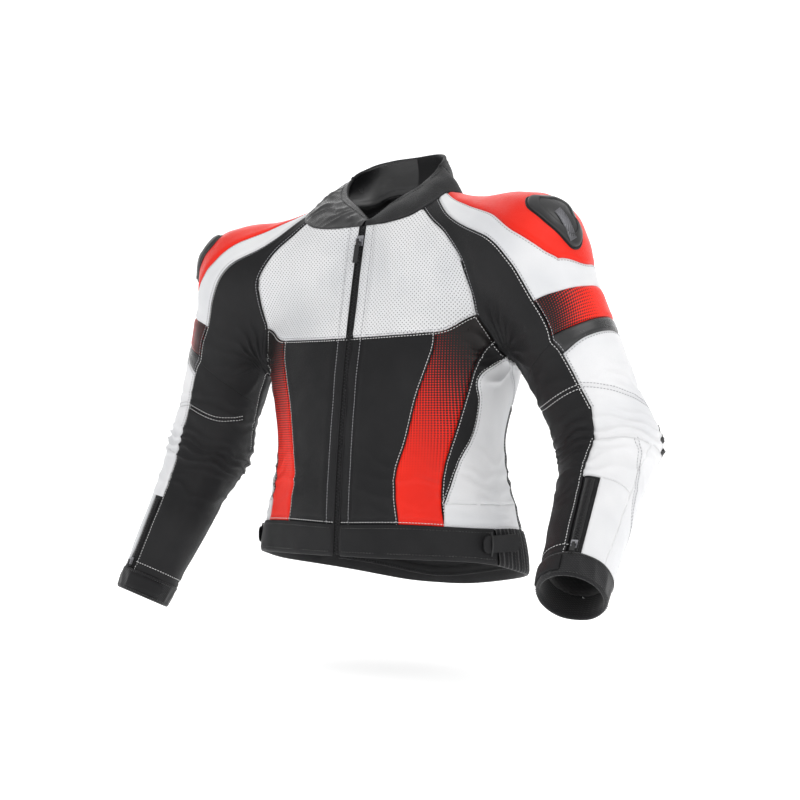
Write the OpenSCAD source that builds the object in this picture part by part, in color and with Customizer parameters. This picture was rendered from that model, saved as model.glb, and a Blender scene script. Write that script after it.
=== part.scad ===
// Leather racing jacket: panels sewn over one smooth body surface, with a zipped front, zipped
// cuffs, hard shoulder cups, armour, a collar and a waistband. All lengths are millimetres.
// Origin at the hanger loop inside the back of the neck, +Z up, front toward -Y, and the wearer's
// left arm toward +X. Every leather panel is a patch between four seams, laid on body_f = 0.

/* [Leather] */
// leather thickness
skin_t = 2.4; // [1:0.1:4]
// half of the groove left between two sewn panels
seam_gap = 0.8; // [0.4:0.1:1.5]
// depth of the lining under the outer surface
lining_depth = 6.2; // [5:0.1:8]
// lining thickness
lining_t = 1.2; // [0.8:0.1:2]
// steps along each side of a panel
panel_steps = 8; // [4:1:12]

/* [Torso] */
// depth axis of the torso, in y
mid_y = -72; // [-90:1:-50]
// roundness of the torso section, 2 is an ellipse
squareness = 2.3; // [2:0.1:3]
// radius of the curve that the front zip follows
zip_bend_r = 2500; // [1500:50:4000]
// zip line: y at the neck
zip_top_y = -151; // [-170:1:-130]
// zip line: z at the neck
zip_top_z = -80; // [-100:1:-60]
// zip line: y at the hem
zip_hem_y = -219; // [-240:1:-180]
// zip line: z at the hem
zip_hem_z = -557; // [-620:1:-480]
// how far the back of the hem hangs below the front
tail_drop = 69; // [0:1:120]
// height of the waistband at the front
waist_h = 45; // [30:1:70]

/* [Arms] */
// radius of the shoulder under the neck
neck_r = 84; // [70:1:100]
// radius at the shoulder point
shoulder_r = 78; // [60:1:95]
// radius at the elbow
elbow_r = 64; // [50:1:80]
// radius at the wrist
wrist_r = 43; // [32:1:55]
// distance of the sleeve seam plane from the middle of the jacket
armhole_x = 222; // [200:1:240]
// half of the soft gap at the elbow, bridged by the accordion
elbow_half_gap = 23; // [15:1:30]
// how much the neck, shoulder and torso run into each other
blend_wide = 40; // [10:1:60]
// how much two lengths of one arm run into each other
blend_arm = 30; // [10:1:50]

/* [Cuffs] */
// width of the cuff band
cuff_w = 35; // [20:1:50]
// thickness of the cuff band
cuff_t = 3.2; // [2:0.1:5]
// length of the forearm zip
cuff_zip_len = 118; // [60:1:150]
// angle of the forearm zip round the arm, from the inside of the elbow toward the outside
cuff_zip_at = 34; // [0:1:90]

/* [Hidden] */
$fn = 48;
LEFT = 1;
RIGHT = -1;
BLACK = [0.05, 0.05, 0.055];
WHITE = [0.92, 0.92, 0.92];
RED = [0.9, 0.13, 0.06];
GREY = [0.35, 0.35, 0.37];
STEEL = [0.55, 0.55, 0.57];
FOAM = [0.2, 0.22, 0.3];

// ---- the arms' three points, for an arm on the +X side ----
neck_p = [62, -76, -106];
shoulder_p = [250, -102, -128];
elbow_p = [362, -76, -400];
function wrist_p(side) = side > 0 ? [393, -271, -587] : [423, -177, -647];

function unit(v) = v / norm(v);
function mix(a, b, t) = a + (b - a) * t;
function clamp01(t) = max(0, min(1, t));

// ---- smooth curve through keys [t, value] ----
function slope_at(k, i) = let (a = max(0, i - 1), b = min(len(k) - 1, i + 1))
    (k[b][1] - k[a][1]) / (k[b][0] - k[a][0]);
function key_before(k, t) = len([for (j = [1:len(k) - 2]) if (t >= k[j][0]) j]);
function smooth_key(k, t0) = let (
    t = max(k[0][0], min(k[len(k) - 1][0], t0)),
    i = key_before(k, t),
    h = k[i + 1][0] - k[i][0],
    s = (t - k[i][0]) / h)
    (2 * s * s * s - 3 * s * s + 1) * k[i][1] + (s * s * s - 2 * s * s + s) * h * slope_at(k, i)
    + (3 * s * s - 2 * s * s * s) * k[i + 1][1] + (s * s * s - s * s) * h * slope_at(k, i + 1);

// ---- torso section at each height ----
half_keys = [[-640, 218], [-560, 215], [-500, 203], [-440, 188], [-390, 184], [-340, 194],
    [-290, 208], [-225, 214], [-165, 204], [-115, 180], [-75, 146], [-40, 110], [0, 88]];
back_keys = [[-640, 144], [-560, 140], [-500, 128], [-420, 116], [-340, 124], [-260, 136],
    [-180, 138], [-115, 126], [-70, 108], [-40, 96], [0, 82]];

// centre of the arc that the front zip follows
zip_chord = [zip_hem_y - zip_top_y, zip_hem_z - zip_top_z];
zip_rise = sqrt(zip_bend_r * zip_bend_r - zip_chord * zip_chord / 4);
zip_cy = (zip_top_y + zip_hem_y) / 2 - zip_chord[1] / norm(zip_chord) * zip_rise;
zip_cz = (zip_top_z + zip_hem_z) / 2 + zip_chord[0] / norm(zip_chord) * zip_rise;
function zip_y(z) = zip_cy - sqrt(zip_bend_r * zip_bend_r - (z - zip_cz) * (z - zip_cz));
zip_lean = (zip_top_z - zip_cz) / (zip_cy - zip_top_y);
function front_d(z) = z < zip_top_z ? mid_y - zip_y(z)
    : mid_y - zip_top_y - zip_lean * (z - zip_top_z) - 0.0028 * pow(min(z, 0) - zip_top_z, 2);

function torso_f(p) = let (
    y = p[1] - mid_y,
    a = smooth_key(half_keys, p[2]),
    b = y < 0 ? front_d(p[2]) : smooth_key(back_keys, p[2]),
    q = pow(pow(abs(p[0]) / a, squareness) + pow(abs(y) / b, squareness), 1 / squareness))
    (q - 1) * min(a, b);
function limb_f(p, a, b, ra, rb) = let (d = b - a, t = clamp01((p - a) * d / (d * d)))
    norm(p - a - t * d) - mix(ra, rb, t);
function soft_min(a, b, k) = let (h = clamp01(0.5 + 0.5 * (b - a) / k))
    b * (1 - h) + a * h - k * h * (1 - h);
function arm_f(p, w) = soft_min(soft_min(limb_f(p, neck_p, shoulder_p, neck_r, shoulder_r),
    limb_f(p, shoulder_p, elbow_p, shoulder_r, elbow_r), blend_arm),
    limb_f(p, elbow_p, w, elbow_r, wrist_r), blend_arm);
// below zero inside the jacket, zero on its outer surface, for the +X half
// the arms run into the torso less toward the middle, so the zip line keeps its own curve
function blend_at(x) = mix(4, blend_wide, clamp01(abs(x) / 60));
function body_f(p, w) = let (
    f = soft_min(torso_f(p), arm_f(p, w), blend_at(p[0])))
    p[0] < 70 ? soft_min(f, arm_f([-p[0], p[1], p[2]], w), blend_at(p[0])) : f;

// distance from o along d to the outer surface
function cast(o, d, w, t0, t1, f0, n) = let (f1 = body_f(o + t1 * d, w))
    (n == 0 || abs(f1) < 0.02 || abs(f1 - f0) < 0.0001) ? t1
    : cast(o, d, w, t1, max(5, t1 - f1 * (t1 - t0) / (f1 - f0)), f1, n - 1);
function reach(o, d, w, guess) = let (f0 = body_f(o + guess * d, w))
    cast(o, d, w, guess, guess - 0.9 * f0, f0, 9);

// ---- four charts: each gives [ray origin, ray direction, first guess] ----
// torso: [angle from the front toward +X, z]
function torso_ray(c) = [[0, mid_y, c[1]], [sin(c[0]), -cos(c[0]), 0], 140];
// shoulder: [x, angle from the front over the top]
hub = [0, -92, -165];
function shoulder_ray(c) = [[c[0], hub[1], hub[2]], [0, -cos(c[1]), sin(c[1])], 100];
// frame of the elbow: hinge axis toward the body, both arm directions and their bisector
function arm_dir() = unit(elbow_p - shoulder_p);
function fore_dir(w) = unit(w - elbow_p);
function hinge_dir(w) = unit(cross(arm_dir(), fore_dir(w)));
function mid_dir(w) = unit(arm_dir() + fore_dir(w));
// direction in the plane across n, angle 0 toward front vector v, 90 outward
function ring_dir(n, v, a) = let (f = unit(v - (v * n) * n)) f * cos(a) + cross(f, n) * sin(a);
fan_z = -295;
fan_angle = 69;
fan_y = -97;
function fan_h(t) = mix(130, 89.5, t);
// upper sleeve: [0 at the armhole to 1 at the elbow gap, angle from the front]
function sleeve_ray(c, w) = let (
    s = c[0],
    m = mid_dir(w),
    inner = -cross(m, hinge_dir(w)),
    t = min(1, 2 * s),
    fa = fan_angle * t,
    fan_o = [armhole_x + fan_h(t) * sin(fa), mix(hub[1], fan_y, t), fan_z + fan_h(t) * cos(fa)],
    t2 = max(0, 2 * s - 1),
    o = mix(fan_o, elbow_p - elbow_half_gap * m, t2),
    n = unit(mix([cos(fa), 0, -sin(fa)], m, t2)),
    v = mix([0, -1, 0], inner, s))
    [o, ring_dir(n, v, c[1]), 75];
// forearm: [0 at the elbow gap to 1 at the cuff, angle from the inside of the elbow]
function fore_len(w) = norm(w - elbow_p) - cuff_w - 1;
function fore_ray(c, w) = let (
    m = mid_dir(w),
    u = fore_dir(w),
    inner = -cross(m, hinge_dir(w)),
    k = clamp01(c[0] / 0.4),
    n = unit(mix(m, u, k)),
    start = elbow_p + elbow_half_gap * m,
    o = mix(start, elbow_p + fore_len(w) * u, c[0]))
    [o, ring_dir(n, inner, c[1]), 55];
function ray_of(chart, c, w) = chart == "torso" ? torso_ray(c)
    : chart == "shoulder" ? shoulder_ray(c)
    : chart == "sleeve" ? sleeve_ray(c, w) : fore_ray(c, w);
function on_skin(chart, c, w) = let (r = ray_of(chart, c, w))
    r[0] + reach(r[0], r[1], w, r[2]) * r[1];

// ---- seams: smooth lines through chart points ----
function at_line(l, t) = let (
    n = len(l) - 1,
    i = min(n - 1, floor(t * n)),
    s = t * n - i,
    p0 = l[i],
    p1 = l[i + 1],
    m0 = i == 0 ? p1 - p0 : (p1 - l[i - 1]) / 2,
    m1 = i == n - 1 ? p1 - p0 : (l[i + 2] - p0) / 2)
    (2 * s * s * s - 3 * s * s + 1) * p0 + (s * s * s - 2 * s * s + s) * m0
    + (3 * s * s - 2 * s * s * s) * p1 + (s * s * s - s * s) * m1;
function across(a, b, c, d, u, v) = let (
    pa = at_line(a, u),
    pb = at_line(b, u),
    pc = at_line(c, v),
    pd = at_line(d, v))
    mix(pa, pb, v) + mix(pc, pd, u) - mix(mix(a[0], a[len(a) - 1], u), mix(b[0], b[len(b) - 1], u), v);

// a panel between lines a (v = 0) and b (v = 1), with ends c (u = 0) and d (u = 1), from depth
// d0 under the skin to depth d1, drawn in from all four edges by gap
module panel(side, chart, a, b, c, d, d0 = 0, d1 = skin_t, nu = panel_steps, nv = panel_steps,
        gap = seam_gap) {
    w = wrist_p(side);
    q0 = on_skin(chart, across(a, b, c, d, 0, 0.5), w);
    q1 = on_skin(chart, across(a, b, c, d, 1, 0.5), w);
    q2 = on_skin(chart, across(a, b, c, d, 0.5, 0), w);
    q3 = on_skin(chart, across(a, b, c, d, 0.5, 1), w);
    gu = gap / norm(q1 - q0);
    gv = gap / norm(q3 - q2);
    rays = [for (j = [0:nv]) for (i = [0:nu])
        let (c2 = across(a, b, c, d, mix(gu, 1 - gu, i / nu), mix(gv, 1 - gv, j / nv)),
             r = ray_of(chart, c2, w))
        [r[0], r[1], reach(r[0], r[1], w, r[2])]];
    shell(side, rays, d0, d1, nu, nv);
}
module shell(side, rays, d0, d1, nu, nv) {
    n = len(rays);
    row = nu + 1;
    outer = [for (r = rays) r[0] + (r[2] - d0) * r[1]];
    inner = [for (r = rays) r[0] + (r[2] - d1) * r[1]];
    pts = [for (p = concat(outer, inner)) [side * p[0], p[1], p[2]]];
    top = [for (j = [0:nv - 1]) for (i = [0:nu - 1]) let (k = j * row + i)
        for (f = [[k, k + 1, k + row + 1], [k, k + row + 1, k + row]]) f];
    low = [for (f = top) [f[2] + n, f[1] + n, f[0] + n]];
    rim = concat([for (i = [0:nu]) i], [for (j = [1:nv]) j * row + nu],
        [for (i = [nu - 1:-1:0]) nv * row + i], [for (j = [nv - 1:-1:1]) j * row]);
    walls = [for (k = [0:len(rim) - 1]) let (p = rim[k], q = rim[(k + 1) % len(rim)])
        for (f = [[p + n, q + n, q], [p + n, q, p]]) f];
    all_f = concat(top, low, walls);
    mid = floor(nv / 2) * row + floor(nu / 2);
    out = cross(outer[mid + 1] - outer[mid], outer[mid + row] - outer[mid]) * rays[mid][1];
    polyhedron(points = pts, faces = side * out < 0 ? all_f : [for (f = all_f) rev(f)]);
}

// ---- seams, as points in the charts ----
function to_torso(p) = [atan2(p[0], mid_y - p[1]), p[2]];
function turn(c) = c[0] < 0 ? [c[0] + 360, c[1]] : c;
function front_at(x, z) = let (
    a = smooth_key(half_keys, z),
    y = front_d(z) * pow(max(0, 1 - pow(x / a, squareness)), 1 / squareness))
    [atan2(x, y), z];
function rev(l) = [for (i = [len(l) - 1:-1:0]) l[i]];
function across_back(l) = [for (c = l) [360 - c[0], c[1]]];

// half width of the zip and its two leather edges
zip_half = 9;
chest_corner = [188, -45];
front_seam = [[105, 62.2], [123, 53.5], [153, 39.6], [180, 18], [186, -1.6], [188, -27],
    chest_corner, [205, -70], [armhole_x, -90]];
back_seam = [[72, 116], [98, 128], [130, 146], [165, 167], [182, 186], [192, 204], [205, 234],
    [armhole_x, 270]];
stripe_front = [[119, 73.4], [150, 56], [185, 43], [armhole_x, 31]];
stripe_top = [[122, 83.5], [150, 72], [188, 60], [armhole_x, 49]];
red_back = [[116, 101], [165, 106], [armhole_x, 112]];
function on_torso(l) = [for (c = l) turn(to_torso(on_skin("shoulder", c, wrist_p(LEFT))))];
chest_seam = on_torso(rev([for (i = [0:6]) front_seam[i]]));
under_seam = on_torso([chest_corner, [205, -70], [212, -79], at_line(front_seam, 13 / 16)]);
back_edge = on_torso(rev(back_seam));
collar_line = [[28, -73], [43, -69]];
neck_edge = on_torso([front_seam[0], stripe_front[0], stripe_top[0], red_back[0],
    mix(red_back[0], back_seam[0], 0.5), back_seam[0]]);
chest_low = [front_at(zip_half, -241), front_at(70, -240), front_at(118, -238), chest_seam[0]];
band_top = [front_at(135, -238), front_at(163, -231), chest_seam[0], under_seam[3],
    under_seam[1]];
waist_line = [front_at(zip_half, -512), front_at(98, -510), front_at(156, -513), [92, -520]];
band_front = [front_at(98, -510), front_at(92, -470), front_at(91, -435), front_at(102, -390),
    front_at(114, -330), front_at(133, -265), front_at(135, -238)];
band_rear = [front_at(156, -513), front_at(150, -478), front_at(149, -433), front_at(159, -379),
    front_at(173, -327), front_at(184, -287), under_seam[1]];
accent_rear = [front_at(154, -480), front_at(164, -422), front_at(175, -382),
    front_at(184, -339), [72.5, -304], under_seam[2]];
side_top = [[100, -340], [98, -322], [92, -299], back_edge[0]];
hem_line = [[3.1, -557], [52, -559], [74, -566], [96, -584], [140, -612], [180, -626]];
waist_all = [[3.5, -512], [41, -510], [76, -517], [96, -521], [140, -545], [180, -560]];
function line_cut(l, t0, t1, n) = [for (i = [0:n]) at_line(l, mix(t0, t1, i / n))];

// ---- torso panels ----
function down_zip(z0, z1) = [for (i = [0:3]) front_at(zip_half, mix(z0, z1, i / 3))];

module chest(side) {
    color(WHITE) panel(side, "torso", chest_low, concat([front_at(zip_half, -72)], collar_line,
        [chest_seam[6]]), down_zip(-241, -72), chest_seam, nu = 9, nv = 12);
}
module lower_front(side) {
    color(BLACK) panel(side, "torso", [waist_line[0], waist_line[1]],
        [chest_low[0], front_at(70, -240), band_front[6]], down_zip(-512, -241), band_front,
        nv = 12);
}
module side_bands() {
    color(RED) for (side = [RIGHT, LEFT])
        panel(side, "torso", [waist_line[1], waist_line[2]], band_top, band_front, band_rear,
            nv = 12);
}
module side_accents() {
    color(BLACK) for (side = [RIGHT, LEFT])
        panel(side, "torso", [front_at(150, -478), accent_rear[0]], [under_seam[1], under_seam[2]],
            [for (i = [1:6]) band_rear[i]], accent_rear, nu = 4, nv = 10);
}
module side_panels() {
    color(WHITE) for (side = [RIGHT, LEFT]) {
        panel(side, "torso", [front_at(154, -480), [100, -485]], [under_seam[2], back_edge[0]],
            accent_rear, concat([[100, -485], [100, -410]], side_top), nv = 10, gap = 2.2);
        panel(side, "torso", [waist_line[2], [100, -523]], [front_at(154, -480), [100, -485]],
            [waist_line[2], front_at(154, -480)], [[100, -523], [100, -485]], nv = 3);
    }
}
back_low = [[100, -340], [140, -336], [180, -334], [220, -336], [260, -340]];
module back_upper() {
    edge = concat([for (i = [0:2]) side_top[i]], back_edge);
    color(WHITE) panel(LEFT, "torso", back_low, concat([back_edge[7]], [[149, 6], [180, 8],
        [211, 6]], across_back([back_edge[7]])), edge, across_back(edge), nu = 14, nv = 10);
}
module back_lower() {
    low = [[100, -523], [140, -545], [180, -560], [220, -545], [260, -523]];
    edge = [[100, -523], [100, -430], [100, -340]];
    color(BLACK) panel(LEFT, "torso", low, back_low, edge, across_back(edge), nu = 14, nv = 8);
}
module raglan_front() {
    color(BLACK) for (side = [RIGHT, LEFT])
        panel(side, "shoulder", front_seam, stripe_front, [front_seam[0], stripe_front[0]],
            [[armhole_x, -90], [armhole_x, 31]], nu = 8);
}
module raglan_stripe() {
    color(WHITE) for (side = [RIGHT, LEFT])
        panel(side, "shoulder", stripe_front, stripe_top, [stripe_front[0], stripe_top[0]],
            [stripe_front[3], stripe_top[3]], nv = 4);
}
module raglan_top() {
    color(RED) for (side = [RIGHT, LEFT])
        panel(side, "shoulder", stripe_top, red_back, [stripe_top[0], red_back[0]],
            [stripe_top[3], red_back[2]]);
}
module raglan_back() {
    color(BLACK) for (side = [RIGHT, LEFT])
        panel(side, "shoulder", red_back, back_seam, [red_back[0], back_seam[0]],
            [red_back[2], [armhole_x, 190], [armhole_x, 270]], nu = 7, nv = 12);
}

// ---- collar: a standing band, open in a V at the front ----
collar_t = 4;
collar_rim = [[2, -131, -61], [34, -117, -34], [67, -96, -10], [82, -62, 22], [70, -24, 45],
    [42, 0, 56], [0, 8, 58]];
collar_top = [for (t = [0, 0.75, 1.25, 1.8, 2.3, 2.75, 3.2, 3.7, 4.2, 5, 6])
    at_line(collar_rim, t / 6)];
collar_base = concat([[2, -71.5]], collar_line, neck_edge, [[149, 8], [180, 10]]);
module collar() {
    n = 20;
    half = [for (i = [0:n]) let (
        b = on_skin("torso", at_line(collar_base, i / n), wrist_p(LEFT)) + [0, 0, 3.4],
        t = at_line(collar_top, i / n),
        bulge = 5 * sin(180 * i / n),
        m = (b + t) / 2 + bulge * unit([b[0], b[1] - mid_y + 8, 6]))
        [b, m, t]];
    loop = concat(half, [for (i = [n - 1:-1:0]) [for (p = half[i]) [-p[0], p[1], p[2]]]]);
    rays = [for (j = [0:2]) for (i = [0:2 * n])
        let (p = loop[i][j], d = unit([p[0], p[1] + 62, 0])) [p - 40 * d, d, 40]];
    color(BLACK) shell(LEFT, rays, 0, collar_t, 2 * n, 2);
}

// ---- waistband ----
module waistband(side) {
    color(BLACK) panel(side, "torso", [[3.6, -557], [52, -559], [78, -568]],
        [[3.9, -512], [41, -510.5], [78, -517]], [[3.6, -557], [3.9, -512]], [[78, -568],
        [78, -517]], d1 = 3.4, nu = 8, nv = 2);
}
module waist_gussets() {
    color(GREY) for (side = [RIGHT, LEFT])
        panel(side, "torso", [[78, -568], [96, -584], [112, -594]], [[78, -517], [96, -522],
            [112, -529]], [[78, -568], [78, -517]], [[112, -594], [112, -529]], d0 = 0.8,
            d1 = 3.4, nu = 6, nv = 2);
}
module waistband_back() {
    color(BLACK) panel(LEFT, "torso", [[112, -594], [140, -612], [180, -626], [220, -612],
        [248, -594]], [[112, -529], [140, -545.5], [180, -560.5], [220, -545.5], [248, -529]],
        [[112, -594], [112, -529]], [[248, -594], [248, -529]], d1 = 3.4, nu = 14, nv = 2);
}

// ---- front zip, bent along its arc ----
function zip_turn(z) = asin((z - zip_cz) / zip_bend_r);
module at_zip(z) {
    translate([0, zip_cy, zip_cz]) rotate([-zip_turn(z), 0, 0]) translate([0, -zip_bend_r, 0])
        children();
}
// bar along the zip, between x0 and x1, and from height h0 to h1 above the leather
module zip_bar(x0, x1, h0, h1, z0, z1) {
    translate([0, zip_cy, zip_cz]) rotate([0, 90, 0]) rotate([0, 0, -90 - zip_turn(z1)])
        rotate_extrude(angle = zip_turn(z1) - zip_turn(z0))
            translate([zip_bend_r + h0, x0]) square([h1 - h0, x1 - x0]);
}
zip_lo = -554;
zip_hi = -76;
module main_zip() {
    color(BLACK) for (s = [-1, 1])
        zip_bar(s > 0 ? 0.2 : 0.2 - zip_half, s > 0 ? zip_half - 0.8 : -0.2, -2.6, -1.2, zip_lo, zip_hi);
    color(GREY) for (i = [0:78]) at_zip(zip_lo + 4 + i * 6)
        translate([i % 2 == 0 ? -3.4 : -0.4, -0.8, -1.6]) cube([3.8, 1.8, 3.2]);
}
module wind_flap() {
    color(BLACK) panel(LEFT, "torso", [[-9, -550], [9, -550]], [[-16, -80], [16, -80]],
        [[-9, -550], [-12, -300], [-16, -80]], [[9, -550], [12, -300], [16, -80]], d0 = 3.6, d1 = 5.2,
        nu = 4, nv = 12);
}
slider_z = -96;
slider_h0 = 1.2;
pin_h = 6.4;
module zip_slider() {
    color(STEEL) at_zip(slider_z) {
        translate([-5.5, -slider_h0 - 2.2, -8]) cube([11, 2.2, 16]);
        for (s = [-1, 1]) translate([s * 3.2 - 0.9, -pin_h - 1.6, -2.5])
            cube([1.8, pin_h + 1.6 - slider_h0 - 2.2 + 0.4, 5]);
        translate([-4.1, -pin_h, 0]) rotate([0, 90, 0]) cylinder(d = 1.8, h = 8.2, $fn = 24);
    }
}
module zip_pull() {
    color(BLACK) at_zip(slider_z) translate([0, -pin_h, 0]) {
        difference() {
            translate([-2, 0, 0]) rotate([0, 90, 0]) cylinder(d = 4.4, h = 4, $fn = 32);
            translate([-3, 0, 0]) rotate([0, 90, 0]) cylinder(d = 2.4, h = 6, $fn = 24);
        }
        translate([-2, -2.2, -9]) cube([4, 1.6, 7.6]);
        translate([-3.6, -2.6, -36]) cube([7.2, 2.2, 28]);
    }
}

// ---- inside ----
module lining_panel(side, chart, a, b, c, d, nu, nv) {
    panel(side, chart, a, b, c, d, d0 = lining_depth, d1 = lining_depth + lining_t, nu = nu,
        nv = nv, gap = 2);
}
module lining() {
    color(GREY) {
        for (side = [RIGHT, LEFT]) {
            lining_panel(side, "torso", [[5, -500], [45, -500], [98, -505]],
                concat([[8, -82]], collar_line, [chest_seam[6]]), [[5, -500], [7, -240],
                [8, -82]], concat([[98, -505], [98, -400], [92, -300]], [under_seam[1]],
                chest_seam), 8, 18);
            lining_panel(side, "shoulder", front_seam, back_seam, [front_seam[0], [116, 97],
                back_seam[0]], [for (a = [-90:45:270]) [armhole_x, a]], 6, 16);
        }
        low = [[100, -505], [140, -530], [180, -542], [220, -530], [260, -505]];
        low_edge = [[100, -505], [100, -430], [100, -340]];
        lining_panel(LEFT, "torso", low, back_low, low_edge, across_back(low_edge), 14, 6);
        edge = concat([for (i = [0:2]) side_top[i]], back_edge);
        lining_panel(LEFT, "torso", back_low, concat([back_edge[7]], [[149, -10], [180, -14],
            [211, -10]], across_back([back_edge[7]])), edge, across_back(edge), 14, 10);
    }
}
module back_protector() {
    color(FOAM) panel(LEFT, "torso", [[150, -480], [180, -486], [210, -480]], [[140, -90],
        [180, -80], [220, -90]], [[150, -480], [138, -250], [140, -90]], [[210, -480],
        [222, -250], [220, -90]], d0 = 9, d1 = 17, nu = 10, nv = 10);
}
module trouser_zip() {
    color(BLACK) panel(LEFT, "torso", [[120, -586], [180, -610], [240, -586]], [[120, -570],
        [180, -594], [240, -570]], [[120, -586], [120, -570]], [[240, -586], [240, -570]],
        d0 = 4.4, d1 = 6.4, nu = 16, nv = 1);
}
module hanger_loop() {
    color(BLACK) {
        translate([0, 56, -3]) rotate([0, 0, 248]) rotate_extrude(angle = 44)
            translate([55.2, 0]) square([1.6, 6]);
    }
}

// ---- straps at the sides of the waistband ----
strap_z = -538;
strap_out = 6.8;
module waist_strap(side) {
    w = wrist_p(LEFT);
    p = on_skin("torso", [70, strap_z], w);
    q = on_skin("torso", [86, strap_z - 2], w);
    a = atan2(q[1] - p[1], q[0] - p[0]);
    l = norm([q[0] - p[0], q[1] - p[1]]);
    color(BLACK) mirror([side > 0 ? 0 : 1, 0, 0]) translate(p) rotate([0, 0, a]) {
        translate([0, -strap_out - 2.2, -13]) cube([l, 2.2, 26]);
        translate([0, -strap_out - 1.1, -13]) cylinder(d = 4.2, h = 26, $fn = 32);
        translate([l, -strap_out - 1.1, 0]) rotate([90, 0, 0]) cylinder(d = 26, h = 2.2,
            center = true);
    }
}

// ---- sleeve, above the elbow ----
black_edge = [[0, 31], [0.12, 16], [0.27, 4], [0.47, 12], [0.6, 20], [1, 24]];
red_edge = [[0, 49], [0.07, 38], [0.13, 36], [0.20, 40], [0.245, 48]];
red_low = [[0.245, 48], [0.285, 73], [0.285, 95], [0.26, 125]];
red_rear = [[0, 112], [0.13, 130], [0.26, 125]];
band_hi = [[0.27, 4], [0.32, 34], [0.345, 65], [0.35, 90], [0.35, 150]];
band_mid = [[0.47, 12], [0.465, 45], [0.46, 83], [0.46, 115], [0.46, 150]];
band_lo = [[0.6, 20], [0.54, 50], [0.52, 85], [0.52, 115], [0.52, 150]];
under_line = [[0, -90], [1, -90]];
rear_line = [[0, -150], [0.35, -146], [0.52, -146], [1, -136]];
module sleeve_black(side) {
    color(BLACK) {
        panel(side, "sleeve", under_line, black_edge, [[0, -90], [0, 31]], [[1, -90], [1, 24]],
            nu = 12);
        panel(side, "sleeve", rear_line, under_line, [[0, -150], [0, -90]],
            [[1, -136], [1, -90]], nu = 12, nv = 5);
    }
}
module sleeve_white(side) {
    color(WHITE) {
        panel(side, "sleeve", [for (i = [0:2]) black_edge[i]], red_edge, [[0, 31], [0, 49]],
            [[0.27, 4], [0.245, 48]], nu = 6, nv = 4);
        panel(side, "sleeve", band_hi, red_low, [[0.27, 4], [0.245, 48]],
            [[0.35, 150], [0.26, 125]], nu = 10, nv = 3);
        panel(side, "sleeve", red_rear, [[0, 210], [0.35, 214]], [[0, 112], [0, 210]],
            [[0.26, 125], [0.35, 150], [0.35, 214]], nu = 7, nv = 7);
        panel(side, "sleeve", [black_edge[4], black_edge[5]], [[0.52, 115], [1, 120]],
            [for (i = [0:3]) band_lo[i]], [[1, 24], [1, 120]], nu = 6, nv = 7);
        panel(side, "sleeve", [[0.52, 115], [1, 120]], [[0.52, 214], [1, 224]],
            [[0.52, 115], [0.52, 214]], [[1, 120], [1, 224]], nu = 6, nv = 7);
    }
}
module sleeve_red(side) {
    color(RED) panel(side, "sleeve", [[0, 49], [0.245, 48]], [[0, 112], [0.26, 125]],
        [[0, 49], [0, 112]], red_low, nu = 7, nv = 8);
}
module sleeve_bands(side) {
    color(RED) {
        panel(side, "sleeve", band_hi, band_mid, [[0.27, 4], [0.47, 12]], [[0.35, 150],
            [0.46, 150]], nu = 10, nv = 3);
        panel(side, "sleeve", [[0.35, 150], [0.35, 214]], [[0.46, 150], [0.46, 214]],
            [[0.35, 150], [0.46, 150]], [[0.35, 214], [0.46, 214]], nu = 5, nv = 3);
    }
    color(BLACK) {
        panel(side, "sleeve", band_mid, band_lo, [[0.47, 12], [0.6, 20]], [[0.46, 150],
            [0.52, 150]], nu = 10, nv = 2);
        panel(side, "sleeve", [[0.46, 150], [0.46, 214]], [[0.52, 150], [0.52, 214]],
            [[0.46, 150], [0.52, 150]], [[0.46, 214], [0.52, 214]], nu = 5, nv = 2);
    }
}
cup_low = [[0.225, 55], [0.24, 66], [0.21, 84]];
cup_high = [[0.10, 53], [0.09, 66], [0.12, 82]];
module shoulder_cup(side) {
    color(BLACK) {
        panel(side, "sleeve", cup_high, cup_low, [cup_high[0], cup_low[0]],
            [cup_high[2], cup_low[2]], d0 = -6, d1 = -0.3, nu = 6, nv = 6, gap = 0);
        panel(side, "sleeve", cup_high, cup_low, [cup_high[0], cup_low[0]],
            [cup_high[2], cup_low[2]], d0 = -7.6, d1 = -6.3, nu = 4, nv = 4, gap = 6);
    }
}
module shoulder_pad(side) {
    color(FOAM) panel(side, "sleeve", [[0.03, 45], [0.30, 45]], [[0.03, 120], [0.30, 120]],
        [[0.03, 45], [0.03, 120]], [[0.30, 45], [0.33, 82], [0.30, 120]], d0 = 5, d1 = 12,
        nu = 6, nv = 6);
}
module elbow_bellows(side) {
    w = wrist_p(side);
    m = mid_dir(w);
    inner = -cross(m, hinge_dir(w));
    n = 24;
    half = elbow_half_gap - 1;
    rays = [for (j = [0:6]) for (i = [0:n])
        let (o = elbow_p + mix(-half, half, j / 6) * m, d = ring_dir(m, inner, 360 * i / n),
             r = reach(o, d, w, 66)) [o, d, r - (j % 2 == 0 ? 2.4 : 0)]];
    rest = [for (k = [0:len(rays) - 1]) if (k % (n + 1) != n) rays[k]];
    color(BLACK) ring_shell(side, rest, n, 7, 1.8);
}
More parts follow.
